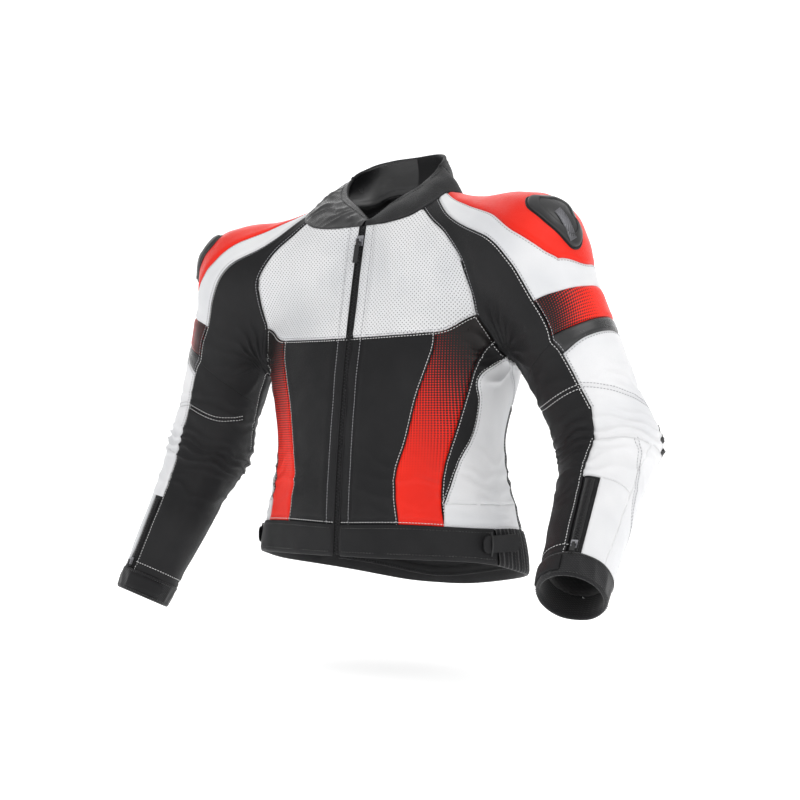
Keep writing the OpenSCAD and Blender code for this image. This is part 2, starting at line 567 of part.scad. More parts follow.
// closed ring of rows, each n rays round
module ring_shell(side, rays, n, rows, t) {
    outer = [for (r = rays) r[0] + r[2] * r[1]];
    inner = [for (r = rays) r[0] + (r[2] - t) * r[1]];
    pts = [for (p = concat(outer, inner)) [side * p[0], p[1], p[2]]];
    k0 = n * rows;
    skin = [for (j = [0:rows - 2]) for (i = [0:n - 1])
        let (a = j * n + i, b = j * n + (i + 1) % n) for (f = [[a, b, b + n], [a, b + n, a + n]]) f];
    lining_f = [for (f = skin) [f[2] + k0, f[1] + k0, f[0] + k0]];
    ends = [for (j = [0, rows - 1]) for (i = [0:n - 1])
        let (a = j * n + i, b = j * n + (i + 1) % n)
        for (f = j == 0 ? [[a + k0, b + k0, b], [a + k0, b, a]]
            : [[a, b, b + k0], [a, b + k0, a + k0]]) f];
    all_f = concat(skin, lining_f, ends);
    out = cross(outer[1] - outer[0], outer[n] - outer[0]) * rays[0][1];
    polyhedron(points = pts, faces = side * out < 0 ? all_f : [for (f = all_f) rev(f)]);
}

// ---- forearm ----
fore_edge = [[0, 22], [0.3, 20], [1, 22]];
module forearm_black(side) {
    color(BLACK) {
        panel(side, "forearm", [[0, -90], [1, -90]], fore_edge, [[0, -90], [0, 22]],
            [[1, -90], [1, 22]], nu = 10);
        panel(side, "forearm", [[0, -150], [1, -150]], [[0, -90], [1, -90]], [[0, -150],
            [0, -90]], [[1, -150], [1, -90]], nu = 10, nv = 5);
    }
}
// the white side has a gap over the zip, between the angles of zip_gap
zip_gap = [cuff_zip_at - 9, cuff_zip_at + 9];
zip_from = 0.42;
module forearm_white(side) {
    color(WHITE) {
        panel(side, "forearm", [[0, 22], [zip_from, 20]], [[0, 90], [zip_from, 90]],
            [[0, 22], [0, 90]], [[zip_from, 20], [zip_from, 90]], nu = 4);
        panel(side, "forearm", [[zip_from, zip_gap[1]], [1, zip_gap[1] + 4]],
            [[zip_from, 90], [1, 90]], [[zip_from, zip_gap[1]], [zip_from, 90]],
            [[1, zip_gap[1] + 4], [1, 90]], nu = 5, nv = 5);
        panel(side, "forearm", [[0, 90], [1, 90]], [[0, 210], [1, 210]], [[0, 90], [0, 210]],
            [[1, 90], [1, 210]], nu = 10);
    }
}
module elbow_pad(side) {
    color(FOAM) panel(side, "forearm", [[0.02, 125], [0.5, 140]], [[0.02, 230], [0.5, 220]],
        [[0.02, 125], [0.02, 230]], [[0.5, 140], [0.55, 180], [0.5, 220]], d0 = 4.6, d1 = 12,
        nu = 7, nv = 7);
}

// ---- cuff: everything here stands in the forearm's own straight frame ----
// x' outward at angle a round the arm, z' down the arm, origin on the elbow
module at_fore(side, a) {
    w = wrist_p(side);
    u = fore_dir(w);
    f = ring_dir(u, -cross(u, hinge_dir(w)), a);
    g = cross(u, f);
    multmatrix([[side * f[0], side * g[0], side * u[0], side * elbow_p[0]],
        [f[1], g[1], u[1], elbow_p[1]], [f[2], g[2], u[2], elbow_p[2]], [0, 0, 0, 1]])
        children();
}
function fore_r(side, l) = mix(elbow_r, wrist_r, l / norm(wrist_p(side) - elbow_p));
cone_lean = 4.4;
module cuff_band(side) {
    l1 = norm(wrist_p(side) - elbow_p);
    l0 = l1 - cuff_w;
    color(BLACK) at_fore(side, 0) rotate_extrude()
        polygon([[fore_r(side, l0), l0], [fore_r(side, l1), l1], [fore_r(side, l1) - cuff_t, l1],
            [fore_r(side, l0) - cuff_t, l0]]);
}
module along_zip(side) {
    l1 = norm(wrist_p(side) - elbow_p) - cuff_w - 2;
    at_fore(side, cuff_zip_at) translate([fore_r(side, l1), 0, l1]) rotate([0, -cone_lean, 0])
        children();
}
module cuff_zip(side) {
    color(BLACK) along_zip(side) for (s = [-1, 1])
        translate([-2.4, s > 0 ? 0.2 : -5.2, -cuff_zip_len]) cube([1.4, 5, cuff_zip_len]);
    color(GREY) along_zip(side) for (i = [0:24])
        translate([-1.2, i % 2 == 0 ? -2.6 : -0.4, -4 - i * 5]) cube([1.8, 3, 2.8]);
}
cuff_slider_at = -9;
module cuff_slider(side) {
    color(STEEL) along_zip(side) translate([0, 0, cuff_slider_at]) {
        translate([1.1, -4, -6]) cube([1.5, 8, 12]);
        for (s = [-1, 1]) translate([2.2, s * 2.7 - 0.7, -2]) cube([3.9, 1.4, 4]);
        translate([4.6, -3.4, 0]) rotate([-90, 0, 0]) cylinder(d = 1.6, h = 6.8, $fn = 24);
    }
}
module cuff_pull(side) {
    color(BLACK) along_zip(side) translate([4.6, 0, cuff_slider_at]) {
        difference() {
            translate([0, -1.6, 0]) rotate([-90, 0, 0]) cylinder(d = 3.2, h = 3.2, $fn = 32);
            translate([0, -3, 0]) rotate([-90, 0, 0]) cylinder(d = 2.2, h = 6, $fn = 24);
        }
        translate([0.3, -1.6, 1.2]) cube([1.5, 3.2, 6.6]);
        translate([-0.1, -3, 6.8]) cube([2, 6, 6.5]);
    }
}
strap_span = 76;
module cuff_strap(side) {
    l1 = norm(wrist_p(side) - elbow_p);
    l0 = l1 - cuff_w + 4;
    l2 = l1 - 5;
    s = side;
    color(BLACK) at_fore(side, 20) rotate([0, 0, -strap_span]) rotate_extrude(angle = strap_span)
        polygon([[fore_r(s, l0) + 0.8, l0], [fore_r(s, l2) + 0.8, l2], [fore_r(s, l2) + 3, l2],
            [fore_r(s, l0) + 3, l0]]);
}

chest(RIGHT);  // chest_right
chest(LEFT);  // chest_left
lower_front(RIGHT);  // lower_front_right
lower_front(LEFT);  // lower_front_left
side_bands();
side_accents();
side_panels();
back_upper();
back_lower();
raglan_front();
raglan_stripe();
raglan_top();
raglan_back();
collar();
waistband(RIGHT);  // waistband_right
waistband(LEFT);  // waistband_left
waistband_back();
waist_gussets();
main_zip();
wind_flap();
hanger_loop();
lining();
back_protector();
trouser_zip();
zip_slider();
zip_pull();
waist_strap(RIGHT);  // waist_strap_right
waist_strap(LEFT);  // waist_strap_left
sleeve_black(RIGHT);  // sleeve_black_right
sleeve_white(RIGHT);  // sleeve_white_right
sleeve_red(RIGHT);  // sleeve_red_right
sleeve_bands(RIGHT);  // sleeve_bands_right
shoulder_cup(RIGHT);  // shoulder_cup_right
shoulder_pad(RIGHT);  // shoulder_pad_right
elbow_bellows(RIGHT);  // elbow_bellows_right
forearm_black(RIGHT);  // forearm_black_right
forearm_white(RIGHT);  // forearm_white_right
elbow_pad(RIGHT);  // elbow_pad_right
cuff_band(RIGHT);  // cuff_band_right
cuff_zip(RIGHT);  // cuff_zip_right
cuff_slider(RIGHT);  // cuff_slider_right
cuff_pull(RIGHT);  // cuff_pull_right
cuff_strap(RIGHT);  // cuff_strap_right
sleeve_black(LEFT);  // sleeve_black_left
sleeve_white(LEFT);  // sleeve_white_left
sleeve_red(LEFT);  // sleeve_red_left
sleeve_bands(LEFT);  // sleeve_bands_left
shoulder_cup(LEFT);  // shoulder_cup_left
shoulder_pad(LEFT);  // shoulder_pad_left
elbow_bellows(LEFT);  // elbow_bellows_left
forearm_black(LEFT);  // forearm_black_left
forearm_white(LEFT);  // forearm_white_left
elbow_pad(LEFT);  // elbow_pad_left
cuff_band(LEFT);  // cuff_band_left
cuff_zip(LEFT);  // cuff_zip_left
cuff_slider(LEFT);  // cuff_slider_left
cuff_pull(LEFT);  // cuff_pull_left
cuff_strap(LEFT);  // cuff_strap_left
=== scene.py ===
"""Leather racing jacket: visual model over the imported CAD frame.

Lengths below are millimetres in the shared frame: origin at the hanger loop, +Z up, front toward -Y,
the wearer's left arm toward +X. Shapes are worked out for the +X half and mirrored for the other.
Every leather piece is a net of patches between seams, laid on the same body surface as the CAD.
"""

import math

import bpy
import numpy as np
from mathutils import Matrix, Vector
from mathutils.kdtree import KDTree


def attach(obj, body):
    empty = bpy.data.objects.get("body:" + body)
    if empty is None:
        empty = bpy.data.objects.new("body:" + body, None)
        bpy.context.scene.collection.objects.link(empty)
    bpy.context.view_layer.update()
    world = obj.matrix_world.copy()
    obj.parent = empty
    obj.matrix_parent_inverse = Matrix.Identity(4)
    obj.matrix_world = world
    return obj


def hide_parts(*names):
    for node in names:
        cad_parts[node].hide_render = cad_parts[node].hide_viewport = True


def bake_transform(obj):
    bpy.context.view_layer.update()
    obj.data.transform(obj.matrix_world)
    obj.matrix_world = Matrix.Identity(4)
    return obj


MM = 0.001
LEFT, RIGHT = 1, -1
SIDES = {LEFT: "left", RIGHT: "right"}

# ---------------------------------------------------------------- body surface
MID_Y = -72.0
SQUARENESS = 2.3
ZIP_BEND_R = 2500.0
ZIP_TOP = (-151.0, -80.0)
ZIP_HEM = (-219.0, -557.0)
NECK = np.array([62.0, -76.0, -106.0])
SHOULDER = np.array([250.0, -102.0, -128.0])
ELBOW = np.array([362.0, -76.0, -400.0])
WRISTS = {LEFT: np.array([393.0, -271.0, -587.0]), RIGHT: np.array([423.0, -177.0, -647.0])}
NECK_R, SHOULDER_R, ELBOW_R, WRIST_R = 84.0, 78.0, 64.0, 43.0
BLEND_WIDE, BLEND_ARM = 40.0, 30.0
ARMHOLE_X = 222.0
ELBOW_GAP = 23.0
CUFF_W = 35.0
HALF_KEYS = np.array([(-640, 218), (-560, 215), (-500, 203), (-440, 188), (-390, 184),
    (-340, 194), (-290, 208), (-225, 214), (-165, 204), (-115, 180), (-75, 146), (-40, 110),
    (0, 88)], float)
BACK_KEYS = np.array([(-640, 144), (-560, 140), (-500, 128), (-420, 116), (-340, 124),
    (-260, 136), (-180, 138), (-115, 126), (-70, 108), (-40, 96), (0, 82)], float)


def flipped(side):
    return np.array([float(side), 1.0, 1.0])


def unit(v):
    return v / np.linalg.norm(v, axis=-1, keepdims=True)


def mix(a, b, t):
    return a + (b - a) * t


def smooth_key(keys, t):
    """Smooth curve through (t, value) keys, held level beyond both ends."""
    z, v = keys[:, 0], keys[:, 1]
    m = np.empty(len(z))
    m[1:-1] = (v[2:] - v[:-2]) / (z[2:] - z[:-2])
    m[0], m[-1] = (v[1] - v[0]) / (z[1] - z[0]), (v[-1] - v[-2]) / (z[-1] - z[-2])
    t = np.clip(t, z[0], z[-1])
    i = np.clip(np.searchsorted(z, t, side="right") - 1, 0, len(z) - 2)
    h = z[i + 1] - z[i]
    s = (t - z[i]) / h
    s2, s3 = s * s, s * s * s
    return ((2 * s3 - 3 * s2 + 1) * v[i] + (s3 - 2 * s2 + s) * h * m[i]
            + (3 * s2 - 2 * s3) * v[i + 1] + (s3 - s2) * h * m[i + 1])


def zip_centre():
    """(y, z) of the centre of the arc that the front zip follows."""
    chord = np.array(ZIP_HEM) - np.array(ZIP_TOP)
    length = np.linalg.norm(chord)
    rise = math.sqrt(ZIP_BEND_R ** 2 - length ** 2 / 4)
    mid = (np.array(ZIP_TOP) + np.array(ZIP_HEM)) / 2
    return mid[0] - chord[1] / length * rise, mid[1] + chord[0] / length * rise


ZIP_CY, ZIP_CZ = zip_centre()


def zip_y(z):
    return ZIP_CY - np.sqrt(ZIP_BEND_R ** 2 - (z - ZIP_CZ) ** 2)


def front_depth(z):
    lean = (ZIP_TOP[1] - ZIP_CZ) / (ZIP_CY - ZIP_TOP[0])
    high = MID_Y - ZIP_TOP[0] - lean * (z - ZIP_TOP[1]) - 0.0028 * (np.minimum(z, 0) - ZIP_TOP[1]) ** 2
    return np.where(z < ZIP_TOP[1], MID_Y - zip_y(z), high)


def torso_f(p):
    x, y, z = np.abs(p[..., 0]), p[..., 1] - MID_Y, p[..., 2]
    a = smooth_key(HALF_KEYS, z)
    b = np.where(y < 0, front_depth(z), smooth_key(BACK_KEYS, z))
    q = ((x / a) ** SQUARENESS + (np.abs(y) / b) ** SQUARENESS) ** (1 / SQUARENESS)
    return (q - 1) * np.minimum(a, b)


def limb_f(p, a, b, ra, rb):
    d = b - a
    t = np.clip(((p - a) @ d) / (d @ d), 0, 1)
    return np.linalg.norm(p - (a + t[..., None] * d), axis=-1) - mix(ra, rb, t)


def soft_min(a, b, k):
    h = np.clip(0.5 + 0.5 * (b - a) / k, 0, 1)
    return b * (1 - h) + a * h - k * h * (1 - h)


def arm_f(p, wrist):
    upper = soft_min(limb_f(p, NECK, SHOULDER, NECK_R, SHOULDER_R),
                     limb_f(p, SHOULDER, ELBOW, SHOULDER_R, ELBOW_R), BLEND_ARM)
    return soft_min(upper, limb_f(p, ELBOW, wrist, ELBOW_R, WRIST_R), BLEND_ARM)


def body_f(p, wrist):
    """Below zero inside the jacket, zero on its outer surface, for the +X half."""
    k = mix(4.0, BLEND_WIDE, np.clip(np.abs(p[..., 0]) / 60, 0, 1))
    f = soft_min(torso_f(p), arm_f(p, wrist), k)
    near = p[..., 0] < 70
    if near.any():
        f[near] = soft_min(f[near], arm_f(p[near] * flipped(RIGHT), wrist), k[near])
    return f


def body_normal(p, wrist):
    e = 1.5
    g = [body_f(p + e * axis, wrist) - body_f(p - e * axis, wrist) for axis in np.eye(3)]
    return unit(np.stack(g, -1))


# ---------------------------------------------------------------- charts
HUB = np.array([0.0, -92.0, -165.0])
FAN_Z, FAN_ANGLE, FAN_Y = -295.0, 69.0, -97.0


def elbow_frame(wrist):
    """(forearm direction, hinge axis toward the body, direction half way round the bend)."""
    v, u = unit(ELBOW - SHOULDER), unit(wrist - ELBOW)
    return u, unit(np.cross(v, u)), unit(v + u)


def ring_dir(n, v, angle):
    f = unit(v - np.sum(v * n, -1, keepdims=True) * n)
    a = np.radians(angle)[:, None]
    return f * np.cos(a) + np.cross(f, n) * np.sin(a)


def torso_ray(c, wrist):
    a = np.radians(c[:, 0])
    o = np.stack([0 * a, 0 * a + MID_Y, c[:, 1]], -1)
    return o, np.stack([np.sin(a), -np.cos(a), 0 * a], -1)


def shoulder_ray(c, wrist):
    a = np.radians(c[:, 1])
    o = np.stack([c[:, 0], 0 * a + HUB[1], 0 * a + HUB[2]], -1)
    return o, np.stack([0 * a, -np.cos(a), np.sin(a)], -1)


def sleeve_ray(c, wrist):
    _, h, m = elbow_frame(wrist)
    inner = -np.cross(m, h)
    s = c[:, 0:1]
    t = np.minimum(1, 2 * s)
    fan = np.radians(FAN_ANGLE * t)
    reach = mix(130.0, 89.5, t)
    fan_o = np.concatenate([ARMHOLE_X + reach * np.sin(fan), mix(HUB[1], FAN_Y, t),
                            FAN_Z + reach * np.cos(fan)], 1)
    t2 = np.maximum(0, 2 * s - 1)
    o = mix(fan_o, ELBOW - ELBOW_GAP * m, t2)
    n = unit(mix(np.concatenate([np.cos(fan), 0 * fan, -np.sin(fan)], 1), m, t2))
    return o, ring_dir(n, mix(np.array([0.0, -1.0, 0.0]), inner, s), c[:, 1])


def elbow_ray(c, wrist):
    """Rings across the elbow: c[0] is -1 at the sleeve's end and 1 at the forearm's start."""
    _, h, m = elbow_frame(wrist)
    inner = np.broadcast_to(-np.cross(m, h), (len(c), 3))
    return ELBOW + ELBOW_GAP * c[:, 0:1] * m, ring_dir(np.broadcast_to(m, (len(c), 3)), inner, c[:, 1])


def forearm_ray(c, wrist):
    u, h, m = elbow_frame(wrist)
    inner = np.broadcast_to(-np.cross(m, h), (len(c), 3))
    k = np.clip(c[:, 0:1] / 0.4, 0, 1)
    n = unit(mix(m, u, k))
    end = ELBOW + (np.linalg.norm(wrist - ELBOW) - CUFF_W) * u
    return mix(ELBOW + ELBOW_GAP * m, end, c[:, 0:1]), ring_dir(n, inner, c[:, 1])


CHARTS = {"torso": torso_ray, "shoulder": shoulder_ray, "sleeve": sleeve_ray,
          "elbow": elbow_ray, "forearm": forearm_ray}
FIRST_GUESS = {"torso": 150.0, "shoulder": 100.0, "sleeve": 75.0, "elbow": 64.0, "forearm": 52.0}


ROUNDS = 22


def on_skin(chart, c, side):
    """Points of the outer surface at chart points c, for the +X half."""
    wrist = WRISTS[side]
    c = np.atleast_2d(np.asarray(c, float))
    o, d = CHARTS[chart](c, wrist)
    t = np.full(len(c), FIRST_GUESS[chart])
    lo, hi = np.full(len(c), 5.0), np.full(len(c), 260.0)
    f = body_f(o + t[:, None] * d, wrist)
    for _ in range(ROUNDS):
        lo, hi = np.where(f < 0, t, lo), np.where(f >= 0, t, hi)
        step = t - f * 0.95
        inside = (step >= lo) & (step <= hi)
        t = np.where(inside, step, (np.maximum(lo, t - 40) + np.minimum(hi, t + 40)) / 2)
        f = body_f(o + t[:, None] * d, wrist)
    return o + t[:, None] * d


# ---------------------------------------------------------------- lines in a chart
def at_line(line, t):
    """Smooth line through chart points, t from 0 to 1."""
    l = np.asarray(line, float)
    n = len(l) - 1
    t = np.clip(np.asarray(t, float), 0, 1) * n
    i = np.minimum(t.astype(int), n - 1)
    s = (t - i)[:, None]
    p0, p1 = l[i], l[i + 1]
    m0 = np.where(i[:, None] == 0, p1 - p0, (p1 - l[np.maximum(i - 1, 0)]) / 2)
    m1 = np.where(i[:, None] == n - 1, p1 - p0, (l[np.minimum(i + 2, n)] - p0) / 2)
    s2, s3 = s * s, s * s * s
    return (2 * s3 - 3 * s2 + 1) * p0 + (s3 - 2 * s2 + s) * m0 + (3 * s2 - 2 * s3) * p1 + (s3 - s2) * m1


def dense(line, n=60, t0=0.0, t1=1.0):
    return at_line(line, np.linspace(t0, t1, n + 1))


def to_torso(p):
    a = np.degrees(np.arctan2(p[:, 0], MID_Y - p[:, 1]))
    return np.stack([np.where(a < 0, a + 360, a), p[:, 2]], -1)


def front_at(x, z):
    """Chart point of the torso front at that x and z."""
    x, z = np.float64(x), np.float64(z)
    a = smooth_key(HALF_KEYS, z)
    y = front_depth(z) * max(0, 1 - (x / a) ** SQUARENESS) ** (1 / SQUARENESS)
    return [math.degrees(math.atan2(x, y)), float(z)]


def coons(a, b, c, d, u, v):
    pa, pb, pc, pd = at_line(a, u), at_line(b, u), at_line(c, v), at_line(d, v)
    u, v = u[:, None], v[:, None]
    corners = (mix(np.asarray(a[0], float), np.asarray(a[-1], float), u),
               mix(np.asarray(b[0], float), np.asarray(b[-1], float), u))
    return mix(pa, pb, v) + mix(pc, pd, u) - mix(corners[0], corners[1], v)


# ---------------------------------------------------------------- seams, as lines in the charts
EDGE_X = 5.0
CHEST_CORNER = [188, -45]
FRONT_SEAM = [[105, 62.2], [123, 53.5], [153, 39.6], [180, 18], [186, -1.6], [188, -27],
              CHEST_CORNER, [205, -70], [ARMHOLE_X, -90]]
BACK_SEAM = [[72, 116], [98, 128], [130, 146], [165, 167], [182, 186], [192, 204], [205, 234],
             [ARMHOLE_X, 270]]
STRIPE_FRONT = [[119, 73.4], [150, 56], [185, 43], [ARMHOLE_X, 31]]
STRIPE_TOP = [[122, 83.5], [150, 72], [188, 60], [ARMHOLE_X, 49]]
RED_BACK = [[116, 101], [165, 106], [ARMHOLE_X, 112]]
ARMHOLE_FRONT = [[ARMHOLE_X, -90], [ARMHOLE_X, 31]]
ARMHOLE_REAR = [[ARMHOLE_X, 112], [ARMHOLE_X, 190], [ARMHOLE_X, 270]]
COLLAR_LINE = [[28, -73], [43, -69]]


def torso_cut(line, t0, t1, n=24):
    """Part of a shoulder-chart line, as torso-chart points."""
    return to_torso(on_skin("shoulder", dense(line, n, t0, t1), LEFT))


CHEST_SEAM = torso_cut(FRONT_SEAM, 6 / 8, 0)
CORNER_SEAM = torso_cut(FRONT_SEAM, 6 / 8, 7 / 8, 8)
UNDER_SEAM = torso_cut(FRONT_SEAM, 7 / 8, 0.97, 8)
BACK_EDGE = torso_cut(BACK_SEAM, 1, 0, 40)
CHEST_LOW = [front_at(EDGE_X, -241), front_at(70, -240), front_at(118, -238),
             front_at(150, -234), CHEST_SEAM[0]]
CHEST_LOW_INNER = [front_at(EDGE_X, -241), front_at(70, -240), front_at(118, -238),
                   front_at(135, -238)]
CHEST_LOW_OUTER = np.array([front_at(135, -238), front_at(150, -234), CHEST_SEAM[0]])
BAND_FRONT = [front_at(98, -510), front_at(92, -470), front_at(91, -435), front_at(102, -390),
              front_at(114, -330), front_at(133, -265), front_at(135, -238)]
BAND_REAR = [front_at(156, -513), front_at(150, -478), front_at(149, -433),
             front_at(159, -379), front_at(173, -327), front_at(184, -287), CORNER_SEAM[-1]]
ACCENT_REAR = [front_at(154, -480), front_at(164, -422), front_at(175, -382),
               front_at(184, -339), [72.5, -304], UNDER_SEAM[-1]]
SIDE_TOP = [[100, -340], [98, -322], [92, -299], BACK_EDGE[0]]
BACK_LOW = [[100, -340], [140, -336], [180, -334], [220, -336], [260, -340]]
HEM_LINE = [[3.1, -557], [52, -559], [74, -566], [96, -584], [140, -612], [180, -626]]
WAIST_LINE = [[3.5, -512], [41, -510], [76, -517], [96, -521], [140, -545], [180, -560]]
BLACK_EDGE = [[0, 31], [0.12, 16], [0.27, 4], [0.47, 12], [0.6, 20], [1, 24]]
RED_EDGE = [[0, 49], [0.07, 38], [0.13, 36], [0.20, 40], [0.245, 48]]
RED_LOW = [[0.245, 48], [0.285, 73], [0.285, 95], [0.26, 125]]
RED_REAR = [[0, 112], [0.13, 130], [0.26, 125]]
BAND_HI = [[0.27, 4], [0.32, 34], [0.345, 65], [0.35, 90], [0.35, 150]]
BAND_MID = [[0.47, 12], [0.465, 45], [0.46, 83], [0.46, 115], [0.46, 150]]
BAND_LO = [[0.6, 20], [0.54, 50], [0.52, 85], [0.52, 115], [0.52, 150]]
REAR_LINE = [[0, -150], [0.35, -146], [0.52, -146], [1, -136]]
FORE_EDGE = [[0, 22], [0.3, 20], [1, 22]]


def cut(line, t0, t1, n=24):
    return dense(line, n, t0, t1)


def waist_cut(a0, a1):
    """Waist line between two torso angles."""
    l = dense(WAIST_LINE, 400)
    a = np.linspace(a0, a1, 20)
    return np.stack([a, np.interp(a, l[:, 0], l[:, 1])], -1)


def hem_cut(a0, a1):
    """The lower edge of the waistband, level where it crosses the middle of the back."""
    l = dense(HEM_LINE, 400)
    a = np.linspace(a0, a1, 40)
    level = 0.006 * np.clip(a - 150, 0, 30) ** 2
    return np.stack([a, np.interp(a, l[:, 0], l[:, 1]) + level], -1)


# ---------------------------------------------------------------- relief of the leather
class Waves:
    """Smooth seeded noise: a sum of plane waves about one wavelength apart."""

    def __init__(self, seed, length, count=9):
        rng = np.random.default_rng(seed)
        self.k = unit(rng.normal(size=(count, 3))) * rng.uniform(0.6, 1.5, (count, 1))
        self.k *= 2 * math.pi / length
        self.phase = rng.uniform(0, 2 * math.pi, count)

    def __call__(self, p):
        return np.sin(p @ self.k.T + self.phase).sum(-1) / math.sqrt(len(self.phase))


BROAD, MIDDLE, FINE = Waves(3, 95), Waves(5, 38), Waves(8, 17)
WARP = Waves(11, 60)


def hump(x, width):
    return np.exp(-(x / width) ** 2)


def ridges(x):
    """Rounded folds with narrow valleys, from -1 to 1, one for each unit of x."""
    return 1 - 2 * np.abs(np.sin(math.pi * x)) ** 0.8


def wrinkles(p, side):
    """Height of the loose leather above its smooth surface, in millimetres."""
    _, h, m = elbow_frame(WRISTS[side])
    along = (p - ELBOW) @ m
    inner = -np.cross(m, h)
    facing = (unit(p - ELBOW) @ inner)
    warp = WARP(p)
    arm = np.clip((p[:, 0] - 225) / 40, 0, 1)
    out = 0.55 * BROAD(p) + 0.35 * MIDDLE(p) * (0.4 + arm)
    bend = 1.3 if side == LEFT else 1.5
    out += 2.1 * bend * arm * hump(along - 6, 26) * ridges(along / 15 + 0.30 * warp + 0.5 * facing)
    out += 1.0 * arm * hump(along + 62, 30) * ridges(along / 21 + 0.35 * warp)
    out += 0.9 * arm * hump(along - 70, 34) * ridges(along / 26 + 0.45 * warp + 0.3)
    pit = np.array([222.0, -110.0, -268.0])
    d = np.linalg.norm(p - pit, axis=-1)
    fan = np.degrees(np.arctan2(p[:, 2] - pit[2], p[:, 0] - pit[0]))
    out += 2.0 * hump(d - 34, 34) * ridges(fan / 25 + 0.25 * warp)
    waist = hump(p[:, 2] + 455, 50) * (1 - arm)
    edge = np.clip(np.abs(p[:, 0]) / 120, 0.15, 1)
    out += 1.3 * waist * edge * ridges(p[:, 2] / 27 + 0.006 * p[:, 0] + 0.35 * warp)
    return out


GROOVE, GROOVE_W = 1.5, 3.4


class SeamMap:
    """All the sewn lines of one half of the jacket, for the groove beside each of them."""

    def __init__(self, side):
        self.side = side
        self.points = []
        self.tree = None

    def add(self, pts):
        step = np.linalg.norm(np.diff(pts, axis=0), axis=1)
        at = np.concatenate([[0], np.cumsum(step)])
        n = max(2, int(at[-1] / 1.5))
        t = np.linspace(0, at[-1], n)
        self.points.append(np.stack([np.interp(t, at, pts[:, i]) for i in range(3)], -1))

    def close(self):
        pts = np.concatenate(self.points)
        self.tree = KDTree(len(pts))
        for i, q in enumerate(pts):
            self.tree.insert(q, i)
        self.tree.balance()

    def distance(self, p):
        return np.array([self.tree.find(q)[2] for q in p])


SEAMS = {side: SeamMap(side) for side in SIDES}


def seam_profile(d):
    """Height beside a seam: a groove at it, a rolled edge next to it."""
    return -GROOVE * np.exp(-(d / GROOVE_W) ** 2 * 2.2) + 0.55 * hump(d - 7, 5)


def relief(p, side):
    return wrinkles(p, side) + seam_profile(SEAMS[side].distance(p))


# ---------------------------------------------------------------- mesh building
def arrays_to_mesh(name, verts, faces):
    mesh = bpy.data.meshes.new(name)
    mesh.from_pydata(np.asarray(verts).tolist(), [], [list(map(int, f)) for f in faces])
    mesh.validate()
    mesh.update()
    mesh.polygons.foreach_set("use_smooth", [True] * len(mesh.polygons))
    obj = bpy.data.objects.new(name, mesh)
    bpy.context.scene.collection.objects.link(obj)
    return obj


def point_attribute(obj, name, values):
    a = obj.data.attributes.new(name, "FLOAT", "POINT")
    a.data.foreach_set("value", np.asarray(values, np.float32))


def uv_from_points(obj, uv):
    layer = obj.data.uv_layers.new(name="UVMap")
    index = np.empty(len(obj.data.loops), np.int32)
    obj.data.loops.foreach_get("vertex_index", index)
    layer.data.foreach_set("uv", np.asarray(uv, np.float32)[index].ravel())


def lattice(rows, cols, wrap=False):
    """Quads of a grid of rows x cols points, numbered along each row."""
    j, i = np.meshgrid(np.arange(rows - 1), np.arange(cols if wrap else cols - 1), indexing="ij")
    a = j * cols + i
    b = j * cols + (i + 1) % cols
    return np.stack([a, b, b + cols, a + cols], -1).reshape(-1, 4)


WELD_MM = 0.25


class Net:
    """Patches of one piece of leather, welded where they meet."""

    def __init__(self, side=LEFT, step=3.2):
        self.side, self.step = side, step
        self.p, self.c, self.f, self.count = [], [], [], 0

    def patch(self, chart, a, b, c, d, nu=None, nv=None):
        ends = [on_skin(chart, dense(l, 12), self.side) for l in (a, b, c, d)]
        size = [np.linalg.norm(np.diff(e, axis=0), axis=1).sum() for e in ends]
        nu = nu or max(2, int(math.ceil(max(size[:2]) / self.step)))
        nv = nv or max(2, int(math.ceil(max(size[2:]) / self.step)))
        v, u = np.meshgrid(np.linspace(0, 1, nv + 1), np.linspace(0, 1, nu + 1), indexing="ij")
        at = coons(a, b, c, d, u.ravel(), v.ravel())
        pts = on_skin(chart, at, self.side)
        quads = lattice(nv + 1, nu + 1)
        k = (nv // 2) * (nu + 1) + nu // 2
        out = np.cross(pts[k + 1] - pts[k], pts[k + nu + 1] - pts[k])
        if out @ body_normal(pts[k:k + 1], WRISTS[self.side])[0] < 0:
            quads = quads[:, ::-1]
        self.p.append(pts)
        self.c.append(at)
        self.f.append(quads + self.count)
        self.count += len(pts)
        return self

    def welded(self):
        p, c, f = np.concatenate(self.p), np.concatenate(self.c), np.concatenate(self.f)
        key = np.round(p / WELD_MM).astype(np.int64)
        _, first, back = np.unique(key, axis=0, return_index=True, return_inverse=True)
        f = back.ravel()[f]
        keep = (f[:, 0] != f[:, 1]) & (f[:, 1] != f[:, 2]) & (f[:, 2] != f[:, 3]) & (f[:, 3] != f[:, 0])
        thin = f[~keep]
        tris = [list(dict.fromkeys(q)) for q in thin.tolist()]
        faces = f[keep].tolist() + [t for t in tris if len(t) == 3]
        return p[first], c[first], faces


def edge_loops(faces):
    """Directed edges that only one face uses."""
    seen = {}
    for q in faces:
        for a, b in zip(q, q[1:] + q[:1]):
            seen[a, b] = True
    return [(a, b) for a, b in seen if (b, a) not in seen]


